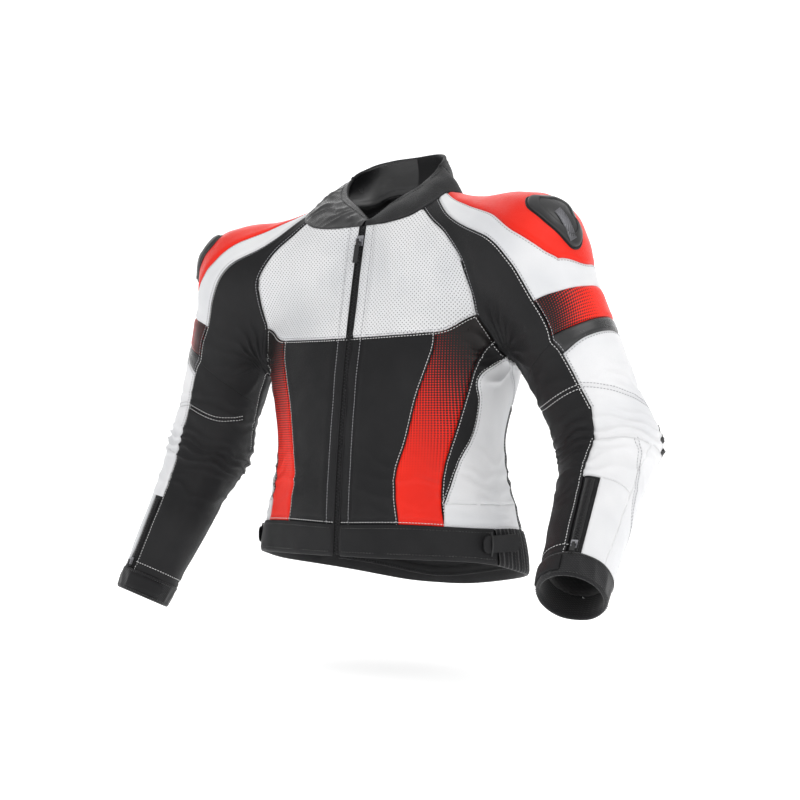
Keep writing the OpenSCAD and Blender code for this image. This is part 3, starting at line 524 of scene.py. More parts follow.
def leather(name, net, material, fade=None, lift=0.0, depth=3.6, planar=False, bumps=True, extra=None):
    """One sewn panel: the net raised by the leather's relief, with its edges turned inward."""
    p, c, faces = net.welded()
    n = body_normal(p, WRISTS[net.side])
    height = relief(p, net.side) if bumps else np.zeros(len(p))
    if extra is not None:
        height = height + extra(p, c)
    top = p + n * (height + lift)[:, None]
    rim = edge_loops(faces)
    ids = sorted({i for e in rim for i in e})
    low = {i: len(p) + k for k, i in enumerate(ids)}
    verts = np.concatenate([top, top[ids] - n[ids] * depth])
    faces = faces + [[b, a, low[a], low[b]] for a, b in rim]
    uv = p[:, [0, 2]] if planar else c
    uv = np.concatenate([uv, uv[ids]]) * MM
    shade = None if fade is None else np.concatenate([fade(p, c), fade(p[ids], c[ids])])
    if net.side == RIGHT:
        verts = verts * flipped(RIGHT)
        faces = [f[::-1] for f in faces]
    obj = arrays_to_mesh(name, verts * MM, faces)
    uv_from_points(obj, uv)
    if shade is not None:
        point_attribute(obj, "fade", shade)
    obj.data.materials.append(material)
    return obj


def frames_along(pts, wrist):
    """Tangent and surface normal at each point of a line on the skin."""
    t = unit(np.gradient(pts, axis=0))
    n = body_normal(pts, wrist)
    return t, unit(n - np.sum(n * t, -1, keepdims=True) * t)


def resampled(pts, step):
    at = np.concatenate([[0], np.cumsum(np.linalg.norm(np.diff(pts, axis=0), axis=1))])
    n = max(2, int(at[-1] / step))
    t = np.linspace(0, at[-1], n)
    return np.stack([np.interp(t, at, pts[:, i]) for i in range(3)], -1)


STITCH_PITCH, STITCH_LIFT = 4.4, 0.15


class Thread:
    """Stitches gathered into one mesh: each is a short bar with pointed ends."""

    def __init__(self):
        self.v, self.f, self.n = [], [], 0

    def stitch(self, p, t, n, length=3.1, wide=0.55, high=0.42):
        b = np.cross(n, t)
        rows = [(-0.5, 0.25), (-0.36, 1.0), (0.36, 1.0), (0.5, 0.25)]
        ring = [(1, 0), (0, 1), (-1, 0), (0, -1)]
        pts = np.stack([p + t * length * s + b * wide * w * x + n * high * w * y
                        for s, w in rows for x, y in ring], 1)
        quads = lattice(4, 4, wrap=True)
        ends = np.array([[3, 2, 1, 0], [12, 13, 14, 15]])
        quads = np.concatenate([quads, ends])
        count = len(p)
        off = (np.arange(count) * 16)[:, None, None] + self.n
        self.v.append(pts.reshape(-1, 3))
        self.f.append((quads[None] + off).reshape(-1, 4))
        self.n += 16 * count

    def along(self, pts, side, offset=0.0):
        """A row of stitches beside a line on the skin, offset to its left."""
        wrist = WRISTS[side]
        q = resampled(pts, STITCH_PITCH)
        if len(q) < 4:
            return
        t, n = frames_along(q, wrist)
        q = q + np.cross(n, t) * offset
        q = q - n * body_f(q, wrist)[:, None]
        q = resampled(q, STITCH_PITCH)
        t, n = frames_along(q, wrist)
        q = q + n * (relief(q, side) + STITCH_LIFT)[:, None]
        t = unit(np.gradient(q, axis=0))
        self.stitch(q * flipped(side), t * flipped(side), n * flipped(side))

    def made(self, name, material):
        if not self.v:
            return None
        obj = arrays_to_mesh(name, np.concatenate(self.v) * MM, np.concatenate(self.f))
        obj.data.materials.append(material)
        return obj


# ---------------------------------------------------------------- materials
class Nodes:
    """Short hand for building one node tree."""

    def __init__(self, name):
        self.mat = bpy.data.materials.new(name)
        self.mat.use_nodes = True
        self.tree = self.mat.node_tree
        self.tree.nodes.clear()
        self.out = self.tree.nodes.new("ShaderNodeOutputMaterial")
        self.bsdf = self.tree.nodes.new("ShaderNodeBsdfPrincipled")
        self.link(self.bsdf.outputs[0], self.out.inputs[0])

    def link(self, a, b):
        self.tree.links.new(a, b)

    def add(self, kind, props=None, **inputs):
        n = self.tree.nodes.new("ShaderNode" + kind)
        for k, v in (props or {}).items():
            setattr(n, k, v)
        for k, v in inputs.items():
            key = k.replace("_", " ")
            sock = n.inputs[int(key[1:])] if key[0] == "i" and key[1:].isdigit() else n.inputs[key]
            if isinstance(v, bpy.types.NodeSocket):
                self.link(v, sock)
            else:
                sock.default_value = v
        return n

    def math(self, op, a, b=0.0):
        return self.add("Math", {"operation": op}, i0=a, i1=b).outputs[0]

    def mixed(self, fac, a, b):
        n = self.add("Mix", {"data_type": "RGBA"})
        for sock, v in ((n.inputs[0], fac), (n.inputs[6], a), (n.inputs[7], b)):
            if isinstance(v, bpy.types.NodeSocket):
                self.link(v, sock)
            else:
                sock.default_value = v
        return n.outputs[2]

    def noise(self, scale, detail=3.0, rough=0.5, vector=None):
        n = self.add("TexNoise", Scale=scale, Detail=detail, Roughness=rough)
        if vector is not None:
            self.link(vector, n.inputs["Vector"])
        return n.outputs["Fac"]

    def spread(self, value, lo, hi, to_lo=0.0, to_hi=1.0):
        return self.add("MapRange", None, i0=value, i1=lo, i2=hi, i3=to_lo, i4=to_hi).outputs[0]

    def set(self, **values):
        for k, v in values.items():
            sock = self.bsdf.inputs[k.replace("_", " ")]
            if isinstance(v, bpy.types.NodeSocket):
                self.link(v, sock)
            else:
                sock.default_value = v


def grey(v):
    return (v, v, v, 1)


def leather_base(name):
    """Object-space grain: pebbles, pores and soft creases, with the tree they live in."""
    m = Nodes(name)
    at = m.add("TexCoord").outputs["Object"]
    pebble = m.add("TexVoronoi", {"feature": "DISTANCE_TO_EDGE"}, Scale=620.0, Vector=at)
    pores = m.noise(1900.0, 2.0, 0.6, at)
    cells = m.spread(pebble.outputs["Distance"], 0.0, 0.16)
    crease = m.noise(46.0, 6.0, 0.62, at)
    patchy = m.noise(9.0, 3.0, 0.5, at)
    return m, at, cells, pores, crease, patchy


def bumped(m, terms):
    """Chain of bump nodes from (height, distance in metres, strength) terms."""
    normal = None
    for height, distance, strength in terms:
        n = m.add("Bump", Height=height, Distance=distance, Strength=strength)
        if normal is not None:
            m.link(normal, n.inputs["Normal"])
        normal = n.outputs[0]
    m.set(Normal=normal)


def dot_grid(m, pitch, angle=0.0):
    """Distance from a regular grid of points in UV, in pitches."""
    uv = m.add("TexCoord").outputs["UV"]
    turned = m.add("Mapping", None, Vector=uv, Rotation=(0, 0, math.radians(angle)),
                   Scale=(1 / pitch, 1 / pitch, 1)).outputs[0]
    flat = m.add("TexVoronoi", {"voronoi_dimensions": "2D"}, Vector=turned, Scale=1.0, Randomness=0.0)
    return flat.outputs["Distance"]


def plain_leather(name, color, dark, rough=(0.34, 0.5), coat=0.12, shine=0.45, perforated=False):
    m, at, cells, pore, crease, patchy = leather_base(name)
    shade = m.mixed(m.spread(patchy, 0.35, 0.68), color, dark)
    shade = m.mixed(m.spread(cells, 0.0, 0.5, 0.35, 0.0), shade, dark)
    terms = [(crease, 0.0012, 0.35), (cells, 0.00022, 0.5), (pore, 0.00008, 0.4)]
    if perforated:
        hole = m.spread(dot_grid(m, 0.0042, 45), 0.15, 0.22)
        shade = m.mixed(hole, grey(0.22), shade)
        terms.append((hole, 0.0008, 1.0))
    wear = m.spread(m.noise(23.0, 5.0, 0.6, at), 0.3, 0.75, rough[0], rough[1])
    m.set(Base_Color=shade, Roughness=wear, Coat_Weight=coat, Coat_Roughness=0.28,
          Specular_IOR_Level=shine)
    bumped(m, terms)
    return m.mat


RED = (0.90, 0.020, 0.005, 1)
RED_DARK = (0.74, 0.012, 0.003, 1)
INK = (0.010, 0.008, 0.008, 1)


DOT_PITCH = 0.0036


def halftone_leather(name):
    """Red leather printed with black dots that grow where the fade attribute nears 1."""
    m, at, cells, pore, crease, patchy = leather_base(name)
    fade = m.add("Attribute", {"attribute_name": "fade"}).outputs["Fac"]
    radius = m.math("MULTIPLY", fade, 0.78)
    gap = m.math("SUBTRACT", dot_grid(m, DOT_PITCH), radius)
    ink = m.spread(gap, -0.05, 0.05, 1.0, 0.0)
    red = m.mixed(m.spread(patchy, 0.35, 0.68), RED, RED_DARK)
    shade = m.mixed(ink, red, INK)
    wear = m.spread(m.noise(23.0, 5.0, 0.6, at), 0.3, 0.75, 0.32, 0.46)
    m.set(Base_Color=shade, Roughness=wear, Coat_Weight=0.05, Coat_Roughness=0.25,
          Specular_IOR_Level=0.25)
    bumped(m, [(crease, 0.0012, 0.35), (cells, 0.00022, 0.5), (pore, 0.00008, 0.4)])
    return m.mat


def woven(name, color, light, pitch=0.0011, rough=0.75):
    """Cloth: a plain weave in object space."""
    m = Nodes(name)
    at = m.add("TexCoord").outputs["Object"]
    w1 = m.add("TexWave", {"bands_direction": "Z"}, Vector=at, Scale=0.5 / pitch / 3.14,
               Distortion=0.4).outputs["Fac"]
    w2 = m.add("TexWave", {"bands_direction": "DIAGONAL"}, Vector=at, Scale=0.5 / pitch / 3.14,
               Distortion=0.4).outputs["Fac"]
    weave = m.math("MULTIPLY", w1, w2)
    lint = m.noise(260.0, 4.0, 0.6, at)
    shade = m.mixed(m.math("MULTIPLY", weave, m.spread(lint, 0.3, 0.7, 0.3, 1.0)), color, light)
    m.set(Base_Color=shade, Roughness=rough, Sheen_Weight=0.25, Sheen_Roughness=0.5,
          Specular_IOR_Level=0.25)
    bumped(m, [(weave, 0.0004, 0.6), (lint, 0.0003, 0.4)])
    return m.mat


def moulded(name, color, rough, grain=900.0, metallic=0.0, coat=0.0):
    """Moulded plastic, rubber or metal with a fine texture and scuffed patches."""
    m = Nodes(name)
    at = m.add("TexCoord").outputs["Object"]
    fine = m.noise(grain, 3.0, 0.6, at)
    scuff = m.noise(38.0, 6.0, 0.65, at)
    rubbed = tuple(min(1, c * 1.9) for c in color[:3]) + (1,)
    shade = m.mixed(m.spread(scuff, 0.5, 0.8, 0.0, 0.5), color, rubbed)
    m.set(Base_Color=shade, Roughness=m.spread(scuff, 0.3, 0.75, rough, rough + 0.18),
          Metallic=metallic, Coat_Weight=coat, Coat_Roughness=0.12)
    bumped(m, [(fine, 0.00012, 0.5), (scuff, 0.0004, 0.15)])
    return m.mat


# ---------------------------------------------------------------- the jacket's materials
def make_materials():
    white, shade = (0.78, 0.78, 0.79, 1), (0.66, 0.67, 0.69, 1)
    black, worn = (0.0075, 0.0075, 0.0085, 1), (0.014, 0.014, 0.015, 1)
    return {
        "white": plain_leather("white_leather", white, shade),
        "perforated": plain_leather("white_perforated", white, shade, perforated=True),
        "black": plain_leather("black_leather", black, worn, rough=(0.46, 0.62), coat=0.0,
                               shine=0.22),
        "shine": plain_leather("black_glossy_leather", black, worn, rough=(0.18, 0.32), coat=0.35),
        "red": plain_leather("red_leather", RED, RED_DARK, rough=(0.34, 0.48), coat=0.05, shine=0.25),
        "halftone": halftone_leather("red_halftone_leather"),
        "stretch": woven("black_stretch", (0.006, 0.006, 0.007, 1), (0.026, 0.026, 0.028, 1)),
        "mesh": woven("lining_mesh", (0.005, 0.005, 0.006, 1), (0.02, 0.02, 0.022, 1), 0.0021, 0.85),
        "tape": woven("zip_tape", (0.006, 0.006, 0.007, 1), (0.026, 0.026, 0.026, 1), 0.0008, 0.8),
        "cup": moulded("hard_cup", (0.011, 0.011, 0.012, 1), 0.34, coat=0.12),
        "plate": moulded("cup_plate", (0.13, 0.13, 0.14, 1), 0.3, metallic=0.8),
        "metal": moulded("zip_metal", (0.30, 0.30, 0.32, 1), 0.28, metallic=1.0),
        "teeth": moulded("zip_teeth", (0.035, 0.035, 0.037, 1), 0.32, metallic=0.6),
        "rubber": moulded("rubber_puller", (0.012, 0.012, 0.013, 1), 0.42),
        "foam": moulded("armour_foam", (0.10, 0.12, 0.17, 1), 0.7, grain=300.0),
        "thread_white": woven("white_thread", (0.72, 0.72, 0.72, 1), (0.86, 0.86, 0.86, 1), 0.0006, 0.6),
        "thread_grey": woven("grey_thread", (0.33, 0.33, 0.35, 1), (0.5, 0.5, 0.52, 1), 0.0006, 0.6),
        "thread_black": woven("black_thread", (0.012, 0.012, 0.012, 1), (0.05, 0.05, 0.05, 1), 0.0006, 0.6),
    }


# ---------------------------------------------------------------- seams to groove and to stitch
# name: (chart, line, stitches on its left, stitches on its right); None leaves that side bare
def seam_table():
    fore = [[0.0, 66], [0.09, 78], [0.25, 90], [0.49, 106], [0.67, 138], [1.0, 150]]
    return {
        "chest_side": ("shoulder", cut(FRONT_SEAM, 0, 6 / 8), "thread_grey", "thread_white"),
        "chest_corner": ("shoulder", cut(FRONT_SEAM, 6 / 8, 1), None, "thread_white"),
        "chest_low": ("torso", CHEST_LOW, "thread_grey", "thread_white"),
        "stripe_front": ("shoulder", STRIPE_FRONT, "thread_white", "thread_grey"),
        "stripe_top": ("shoulder", STRIPE_TOP, None, "thread_grey"),
        "red_back": ("shoulder", RED_BACK, None, "thread_white"),
        "back_seam": ("shoulder", BACK_SEAM, "thread_white", None),
        "band_front": ("torso", BAND_FRONT, "thread_white", None),
        "band_rear": ("torso", BAND_REAR, None, "thread_white"),
        "accent_rear": ("torso", ACCENT_REAR, "thread_white", "thread_grey"),
        "side": ("torso", [[100, -523], [100, -485], [100, -410]] + SIDE_TOP, None, "thread_grey"),
        "back_low": ("torso", BACK_LOW[:3], "thread_grey", "thread_white"),
        "waist": ("torso", dense(WAIST_LINE, 80), "thread_white", None),
        "waist_twin": ("torso", dense(WAIST_LINE, 80)[:46] + np.array([0, 7.0]), None, None),
        "placket": ("torso", [front_at(22, -512), front_at(22, -300), front_at(22, -76)],
                    "thread_grey", None),
        "sleeve_front": ("sleeve", BLACK_EDGE, "thread_grey", "thread_white"),
        "red_edge": ("sleeve", RED_EDGE, None, "thread_grey"),
        "red_low": ("sleeve", RED_LOW, None, "thread_grey"),
        "red_rear": ("sleeve", RED_REAR, None, "thread_grey"),
        "armhole": ("shoulder", ARMHOLE_REAR, None, "thread_white"),
        "band_hi": ("sleeve", BAND_HI + [[0.35, 214]], None, None),
        "band_mid": ("sleeve", BAND_MID + [[0.46, 214]], None, None),
        "band_lo": ("sleeve", BAND_LO + [[0.52, 214]], None, "thread_grey"),
        "rear": ("sleeve", REAR_LINE, None, "thread_grey"),
        "under_arm": ("sleeve", [[0.06, -90], [0.5, -90], [1, -90]], "thread_white", None),
        "fore_front": ("forearm", FORE_EDGE, None, "thread_white"),
        "fore_stitch": ("forearm", fore, "thread_grey", "thread_grey"),
        "fore_rear": ("forearm", [[0, -150], [1, -150]], None, "thread_grey"),
        "gap_front": ("elbow", [[-1, 24], [0, 22], [1, 22]], None, None),
        "elbow_high": ("sleeve", [[0.83, 24], [0.90, 70], [0.93, 115], [0.94, 214]],
                       "thread_grey", "thread_grey"),
        "inner_high": ("sleeve", [[0.80, -60], [0.86, -20], [0.84, 22]], "thread_white", "thread_white"),
        "cuff_high": ("forearm", [[0.955, -150], [0.955, -60], [0.955, 22]], "thread_white", None),
    }


def sew(threads, table):
    for side in SIDES:
        for name, (chart, line, on_left, on_right) in table.items():
            SEAMS[side].add(on_skin(chart, dense(line, 160), side))
        SEAMS[side].close()
    group = {"torso": "torso", "shoulder": "shoulder", "sleeve": "upper", "elbow": "lower",
             "forearm": "lower"}
    for side in SIDES:
        for name, (chart, line, on_left, on_right) in table.items():
            pts = on_skin(chart, dense(line, 160), side)
            place = "lower" if name in ("elbow_high", "inner_high") else group[chart]
            for colour, offset in ((on_left, 2.9), (on_right, -2.9)):
                if colour:
                    pile = threads.setdefault((place, side, colour), Thread())
                    pile.along(pts, side, offset)


# ---------------------------------------------------------------- torso
def clip01(x):
    return np.clip(x, 0, 1)


def front_fade(p, c):
    """Close black dots at the top and toward the side, clean red toward the hem."""
    high = clip01((p[:, 2] + 465) / 225)
    edge = clip01((p[:, 0] - 96) / 90)
    return clip01(0.84 * high ** 0.7 * (0.72 + 0.45 * edge))


def ride_as(obj, body, node):
    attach(obj, body)
    if node:
        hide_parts(*([node] if isinstance(node, str) else node))
    return obj


def torso_panels(M):
    zip_lo = [front_at(EDGE_X, -512), front_at(EDGE_X, -400), front_at(EDGE_X, -241)]
    zip_hi = [front_at(EDGE_X, -241), front_at(EDGE_X, -150), front_at(EDGE_X, -72)]
    waist_front = [front_at(EDGE_X, -512), front_at(98, -510)]
    for side, tag in SIDES.items():
        chest = Net(side).patch("torso", CHEST_LOW, np.concatenate(
            [[front_at(EDGE_X, -72)], COLLAR_LINE, [CHEST_SEAM[-1]]]), zip_hi, CHEST_SEAM)
        ride_as(leather("chest_panel_" + tag, chest, M["perforated"], planar=True),
                "jacket", "chest_" + tag)
        low = Net(side).patch("torso", waist_front, CHEST_LOW_INNER, zip_lo, BAND_FRONT)
        ride_as(leather("front_panel_" + tag, low, M["black"]), "jacket", "lower_front_" + tag)
    for side, tag in SIDES.items():
        band = Net(side).patch("torso", [front_at(98, -510), front_at(156, -513)],
                               np.concatenate([CHEST_LOW_OUTER, CORNER_SEAM[1:]]),
                               BAND_FRONT, BAND_REAR)
        o = leather("side_band_" + tag, band, M["halftone"], fade=front_fade, planar=True)
        ride_as(o, "jacket", "side_bands" if side == LEFT else None)
        accent = Net(side).patch("torso", [front_at(150, -478), ACCENT_REAR[0]], UNDER_SEAM,
                                 BAND_REAR[1:], ACCENT_REAR)
        ride_as(leather("side_accent_" + tag, accent, M["black"]), "jacket",
                "side_accents" if side == LEFT else None)
        flank = Net(side).patch("torso", [front_at(154, -480), [100, -485]],
                                [UNDER_SEAM[-1], BACK_EDGE[0]], ACCENT_REAR,
                                [[100, -485], [100, -410]] + SIDE_TOP)
        flank.patch("torso", [front_at(156, -513), [100, -523]],
                    [front_at(154, -480), [100, -485]], [front_at(156, -513), front_at(154, -480)],
                    [[100, -523], [100, -485]], nv=11)
        ride_as(leather("flank_panel_" + tag, flank, M["white"]), "jacket",
                "side_panels" if side == LEFT else None)
    half_back(M)


def half_back(M):
    """The two back panels, each made as mirrored halves that meet down the spine."""
    top = [BACK_EDGE[-1], [149, 6], [180, 8]]
    for side, tag in SIDES.items():
        up = Net(side)
        up.patch("torso", BACK_LOW[:3], [BACK_EDGE[0], [135, -278], [180, -276]], SIDE_TOP,
                 [[180, -334], [180, -276]])
        up.patch("torso", [BACK_EDGE[0], [135, -278], [180, -276]], top, BACK_EDGE,
                 [[180, -276], [180, -130], [180, 8]])
        ride_as(leather("back_upper_" + tag, up, M["white"]), "jacket",
                "back_upper" if side == LEFT else None)
        low = Net(side).patch("torso", waist_cut(100, 180), BACK_LOW[:3],
                              [[100, -523], [100, -430], [100, -340]],
                              [[180, -560], [180, -430], [180, -334]])
        ride_as(leather("back_lower_" + tag, low, M["stretch"], extra=back_pleats), "jacket",
                "back_lower" if side == LEFT else None)


def back_pleats(p, c):
    """Accordion pleats across the small of the back."""
    fade = clip01((c[:, 0] - 118) / 8) * clip01((-352 - p[:, 2]) / 8) * clip01((p[:, 2] + 470) / 8)
    return 2.2 * fade * ridges(p[:, 2] / 11.5)


def upper_blend(obj, side):
    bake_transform(obj)


def lower_blend(obj, side):
    _, _, m = elbow_frame(WRISTS[side])
    flip = flipped(side)
    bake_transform(obj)


def named(obj, slot, *nodes):
    if nodes:
        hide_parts(*nodes)
    return obj


def shoulders_and_sleeves(M):
    for side, tag in SIDES.items():
        first = side == LEFT
        black = Net(side)
        black.patch("shoulder", FRONT_SEAM, STRIPE_FRONT, [FRONT_SEAM[0], STRIPE_FRONT[0]],
                    ARMHOLE_FRONT, nv=40)
        black.patch("sleeve", [[0, -90], [0.7, -90]], cut(BLACK_EDGE, 0, 0.66), [[0, -90], [0, 31]],
                    [[0.7, -90], at_line(BLACK_EDGE, [0.66])[0]], nv=40)
        black.patch("sleeve", cut(REAR_LINE, 0, 0.70), [[0, -90], [0.7, -90]], [[0, -150], [0, -90]],
                    [at_line(REAR_LINE, [0.70])[0], [0.7, -90]])
        o = leather("sleeve_inner_" + tag, black, M["black"])
        upper_blend(o, side)
        named(o, "black_leather", "sleeve_black_" + tag, *(["raglan_front"] if first else []))
        stripe = Net(side)
        stripe.patch("shoulder", STRIPE_FRONT, STRIPE_TOP, [STRIPE_FRONT[0], STRIPE_TOP[0]],
                     [STRIPE_FRONT[-1], STRIPE_TOP[-1]], nv=16)
        stripe.patch("sleeve", cut(BLACK_EDGE, 0, 0.4), RED_EDGE, [[0, 31], [0, 49]],
                     [[0.27, 4], [0.245, 48]], nv=16)
        stripe.patch("sleeve", BAND_HI, RED_LOW, [[0.27, 4], [0.245, 48]],
                     [[0.35, 150], [0.26, 125]], nv=16)
        stripe.patch("sleeve", [[0.26, 125], [0.35, 150]], [[0, 210], [0.35, 214]],
                     [[0.26, 125], [0.13, 168], [0, 210]], [[0.35, 150], [0.35, 214]], 16, 36)
        stripe.patch("sleeve", RED_REAR, [[0, 112], [0, 162], [0, 210]], [[0, 112], [0, 112.1]],
                     [[0.26, 125], [0.13, 168], [0, 210]], nv=36)
        o = leather("sleeve_white_" + tag, stripe, M["white"])
        upper_blend(o, side)
        named(o, "white_leather", "sleeve_white_" + tag, *(["raglan_stripe"] if first else []))
        red = Net(side)
        red.patch("shoulder", STRIPE_TOP, RED_BACK, [STRIPE_TOP[0], RED_BACK[0]],
                  [STRIPE_TOP[-1], RED_BACK[-1]], nv=34)
        red.patch("sleeve", RED_EDGE, RED_REAR, [[0, 49], [0, 112]], RED_LOW, nv=34)
        o = leather("shoulder_red_" + tag, red, M["red"])
        upper_blend(o, side)
        named(o, "red_leather", "sleeve_red_" + tag, *(["raglan_top"] if first else []))
        rear = Net(side).patch("shoulder", RED_BACK, BACK_SEAM, [RED_BACK[0], BACK_SEAM[0]],
                               ARMHOLE_REAR)
        ride_as(leather("raglan_rear_" + tag, rear, M["black"]), "jacket",
                "raglan_back" if first else None)
        bands(M, side, tag)
        lower_sleeve(M, side, tag)


def band_fade(p, c):
    """Close dots where the band leaves the black panel, clean red toward the outside."""
    return 0.80 * clip01((84 - c[:, 1]) / 66) ** 0.75


def bands(M, side, tag):
    red = Net(side)
    red.patch("sleeve", BAND_HI, BAND_MID, [[0.27, 4], [0.47, 12]], [[0.35, 150], [0.46, 150]], nv=12)
    red.patch("sleeve", [[0.35, 150], [0.35, 214]], [[0.46, 150], [0.46, 214]],
              [[0.35, 150], [0.46, 150]], [[0.35, 214], [0.46, 214]], nv=12)
    o = leather("sleeve_band_red_" + tag, red, M["halftone"], fade=band_fade)
    scale_uv(o, (330, 1.25))
    ride_as(o, "sleeve_" + tag, "sleeve_bands_" + tag)
    black = Net(side)
    black.patch("sleeve", BAND_MID, BAND_LO, [[0.47, 12], [0.6, 20]], [[0.46, 150], [0.52, 150]], nv=7)
    black.patch("sleeve", [[0.46, 150], [0.46, 214]], [[0.52, 150], [0.52, 214]],
                [[0.46, 150], [0.52, 150]], [[0.46, 214], [0.52, 214]], nv=7)
    o = leather("sleeve_band_black_" + tag, black, M["shine"])
    ride_as(o, "sleeve_" + tag, None)


def scale_uv(obj, scale):
    """Scales chart UVs to metres along and round the sleeve."""
    layer = obj.data.uv_layers[0].data
    uv = np.empty(len(layer) * 2, np.float32)
    layer.foreach_get("uv", uv)
    uv = uv.reshape(-1, 2) * np.array(scale, np.float32)
    layer.foreach_set("uv", uv.ravel())


def lower_sleeve(M, side, tag):
    inner = Net(side)
    inner.patch("sleeve", [[0.7, -90], [1, -90]], cut(BLACK_EDGE, 0.66, 1),
                [[0.7, -90], at_line(BLACK_EDGE, [0.66])[0]], [[1, -90], [1, 24]], nv=38)
    inner.patch("sleeve", cut(REAR_LINE, 0.70, 1), [[0.7, -90], [1, -90]],
                [at_line(REAR_LINE, [0.70])[0], [0.7, -90]], [[1, -136], [1, -90]], nv=20)
    inner.patch("elbow", [[-1, -90], [1, -90]], [[-1, 24], [1, 22]], [[-1, -90], [-1, 24]],
                [[1, -90], [1, 22]], nv=38)
    inner.patch("elbow", [[-1, -136], [1, -150]], [[-1, -90], [1, -90]], [[-1, -136], [-1, -90]],
                [[1, -150], [1, -90]], nv=20)
    inner.patch("forearm", [[0, -90], [1, -90]], FORE_EDGE, [[0, -90], [0, 22]],
                [[1, -90], [1, 22]], nv=38)
    inner.patch("forearm", [[0, -150], [1, -150]], [[0, -90], [1, -90]], [[0, -150], [0, -90]],
                [[1, -150], [1, -90]], nv=20)
    o = leather("forearm_inner_" + tag, inner, M["black"])
    lower_blend(o, side)
    named(o, "black_leather", "forearm_black_" + tag)
    outer = Net(side)
    outer.patch("sleeve", cut(BLACK_EDGE, 0.8, 1), [[0.52, 115], [1, 120]], BAND_LO[:4],
                [[1, 24], [1, 120]], nv=36)
    outer.patch("sleeve", [[0.52, 115], [1, 120]], [[0.52, 214], [1, 224]],
                [[0.52, 115], [0.52, 150], [0.52, 214]], [[1, 120], [1, 224]], nv=36)
    outer.patch("elbow", [[-1, 24], [1, 22]], [[-1, 120], [1, 120]], [[-1, 24], [-1, 120]],
                [[1, 22], [1, 120]], nv=36)
    outer.patch("forearm", [[0, 22], [0.42, 20]], [[0, 90], [0.42, 90]], [[0, 22], [0, 90]],
                [[0.42, 20], [0.42, 43], [0.42, 90]], nv=26)
    outer.patch("forearm", [[0.42, 43], [1, 47]], [[0.42, 90], [1, 90]], [[0.42, 43], [0.42, 90]],
                [[1, 47], [1, 90]])
    outer.patch("forearm", [[0, 90], [1, 90]], [[0, 210], [1, 210]], [[0, 90], [0, 210]],
                [[1, 90], [1, 210]])
    o = leather("forearm_outer_" + tag, outer, M["white"])
    lower_blend(o, side)
    named(o, "white_leather", "forearm_white_" + tag)
    bellows = Net(side, 2.4).patch("elbow", [[-1, 120], [1, 120]], [[-1, 224], [1, 210]],
                                   [[-1, 120], [-1, 224]], [[1, 120], [1, 210]])
    o = leather("elbow_bellows_" + tag, bellows, M["stretch"], extra=elbow_pleats, lift=1.0)
    lower_blend(o, side)
    named(o, "stretch_fabric", "elbow_bellows_" + tag)


def elbow_pleats(p, c):
    return 2.6 * ridges(c[:, 0] * 2.5)


# ---------------------------------------------------------------- lofted pieces
def loft(name, rows, side, material, wrap_rows=False, wrap_cols=False):
    """A skin over rows of points, in millimetres for the +X half."""
    rows = np.asarray(rows, float)
    if wrap_rows:
        rows = np.concatenate([rows, rows[:1]])
    r, c = rows.shape[:2]
    quads = lattice(r, c, wrap=wrap_cols)
    if wrap_rows:
        quads = np.where(quads >= (r - 1) * c, quads - (r - 1) * c, quads)
        rows = rows[:-1]
    pts = rows.reshape(-1, 3)
    centre = pts.mean(0)
    a, b, d = pts[quads[:, 0]], pts[quads[:, 1]], pts[quads[:, 3]]
    turn = np.sum(np.cross(b - a, d - a) * (a - centre), -1).sum()
    if (turn < 0) != (side < 0):
        quads = quads[:, ::-1]
    obj = arrays_to_mesh(name, pts * flipped(side) * MM, quads)
    j, i = np.divmod(np.arange(len(pts)), c)
    uv_from_points(obj, np.stack([i * 0.003, j * 0.003], -1))
    obj.data.materials.append(material)
    return obj


def tube(name, path, radius, side, material, around=10):
    """Round cord along a path of points, in millimetres for the +X half."""
    path = np.asarray(path, float)
    t = unit(np.gradient(path, axis=0))
    up = np.zeros_like(path)
    ref = np.array([0.3, 0.2, 1.0])
    for i in range(len(path)):
        ref = ref - (ref @ t[i]) * t[i]
        ref = ref / np.linalg.norm(ref)
        up[i] = ref
    b = np.cross(t, up)
    a = np.linspace(0, 2 * math.pi, around, endpoint=False)
    rows = path[:, None] + radius * (up[:, None] * np.cos(a)[:, None] + b[:, None] * np.sin(a)[:, None])
    cap0, cap1 = np.repeat(path[:1], around, 0)[None], np.repeat(path[-1:], around, 0)[None]
    rows = np.concatenate([cap0, rows, cap1])
    return loft(name, rows, side, material, wrap_cols=True)


def stitched(threads, place, side, p, t, n):
    """Black stitches at points worked out for the +X half."""
    pile = threads.setdefault((place, side, "thread_black"), Thread())
    pile.stitch(p * flipped(side), t * flipped(side), n * flipped(side))


NECK_POINTS = to_torso(on_skin("shoulder", np.array(
    [FRONT_SEAM[0], STRIPE_FRONT[0], STRIPE_TOP[0], RED_BACK[0],
     [(RED_BACK[0][0] + BACK_SEAM[0][0]) / 2, (RED_BACK[0][1] + BACK_SEAM[0][1]) / 2],
     BACK_SEAM[0]], float), LEFT))
COLLAR_BASE = np.concatenate([[[2, -71.5]], COLLAR_LINE, NECK_POINTS, [[149, 8], [180, 10]]])
COLLAR_RIM = [[2, -131, -61], [34, -117, -34], [67, -96, -10], [82, -62, 22], [70, -24, 45],
              [42, 0, 56], [0, 8, 58]]
RIM_AT = [0, 0.75, 1.25, 1.8, 2.3, 2.75, 3.2, 3.7, 4.2, 5, 6]
COLLAR_T = 4.4


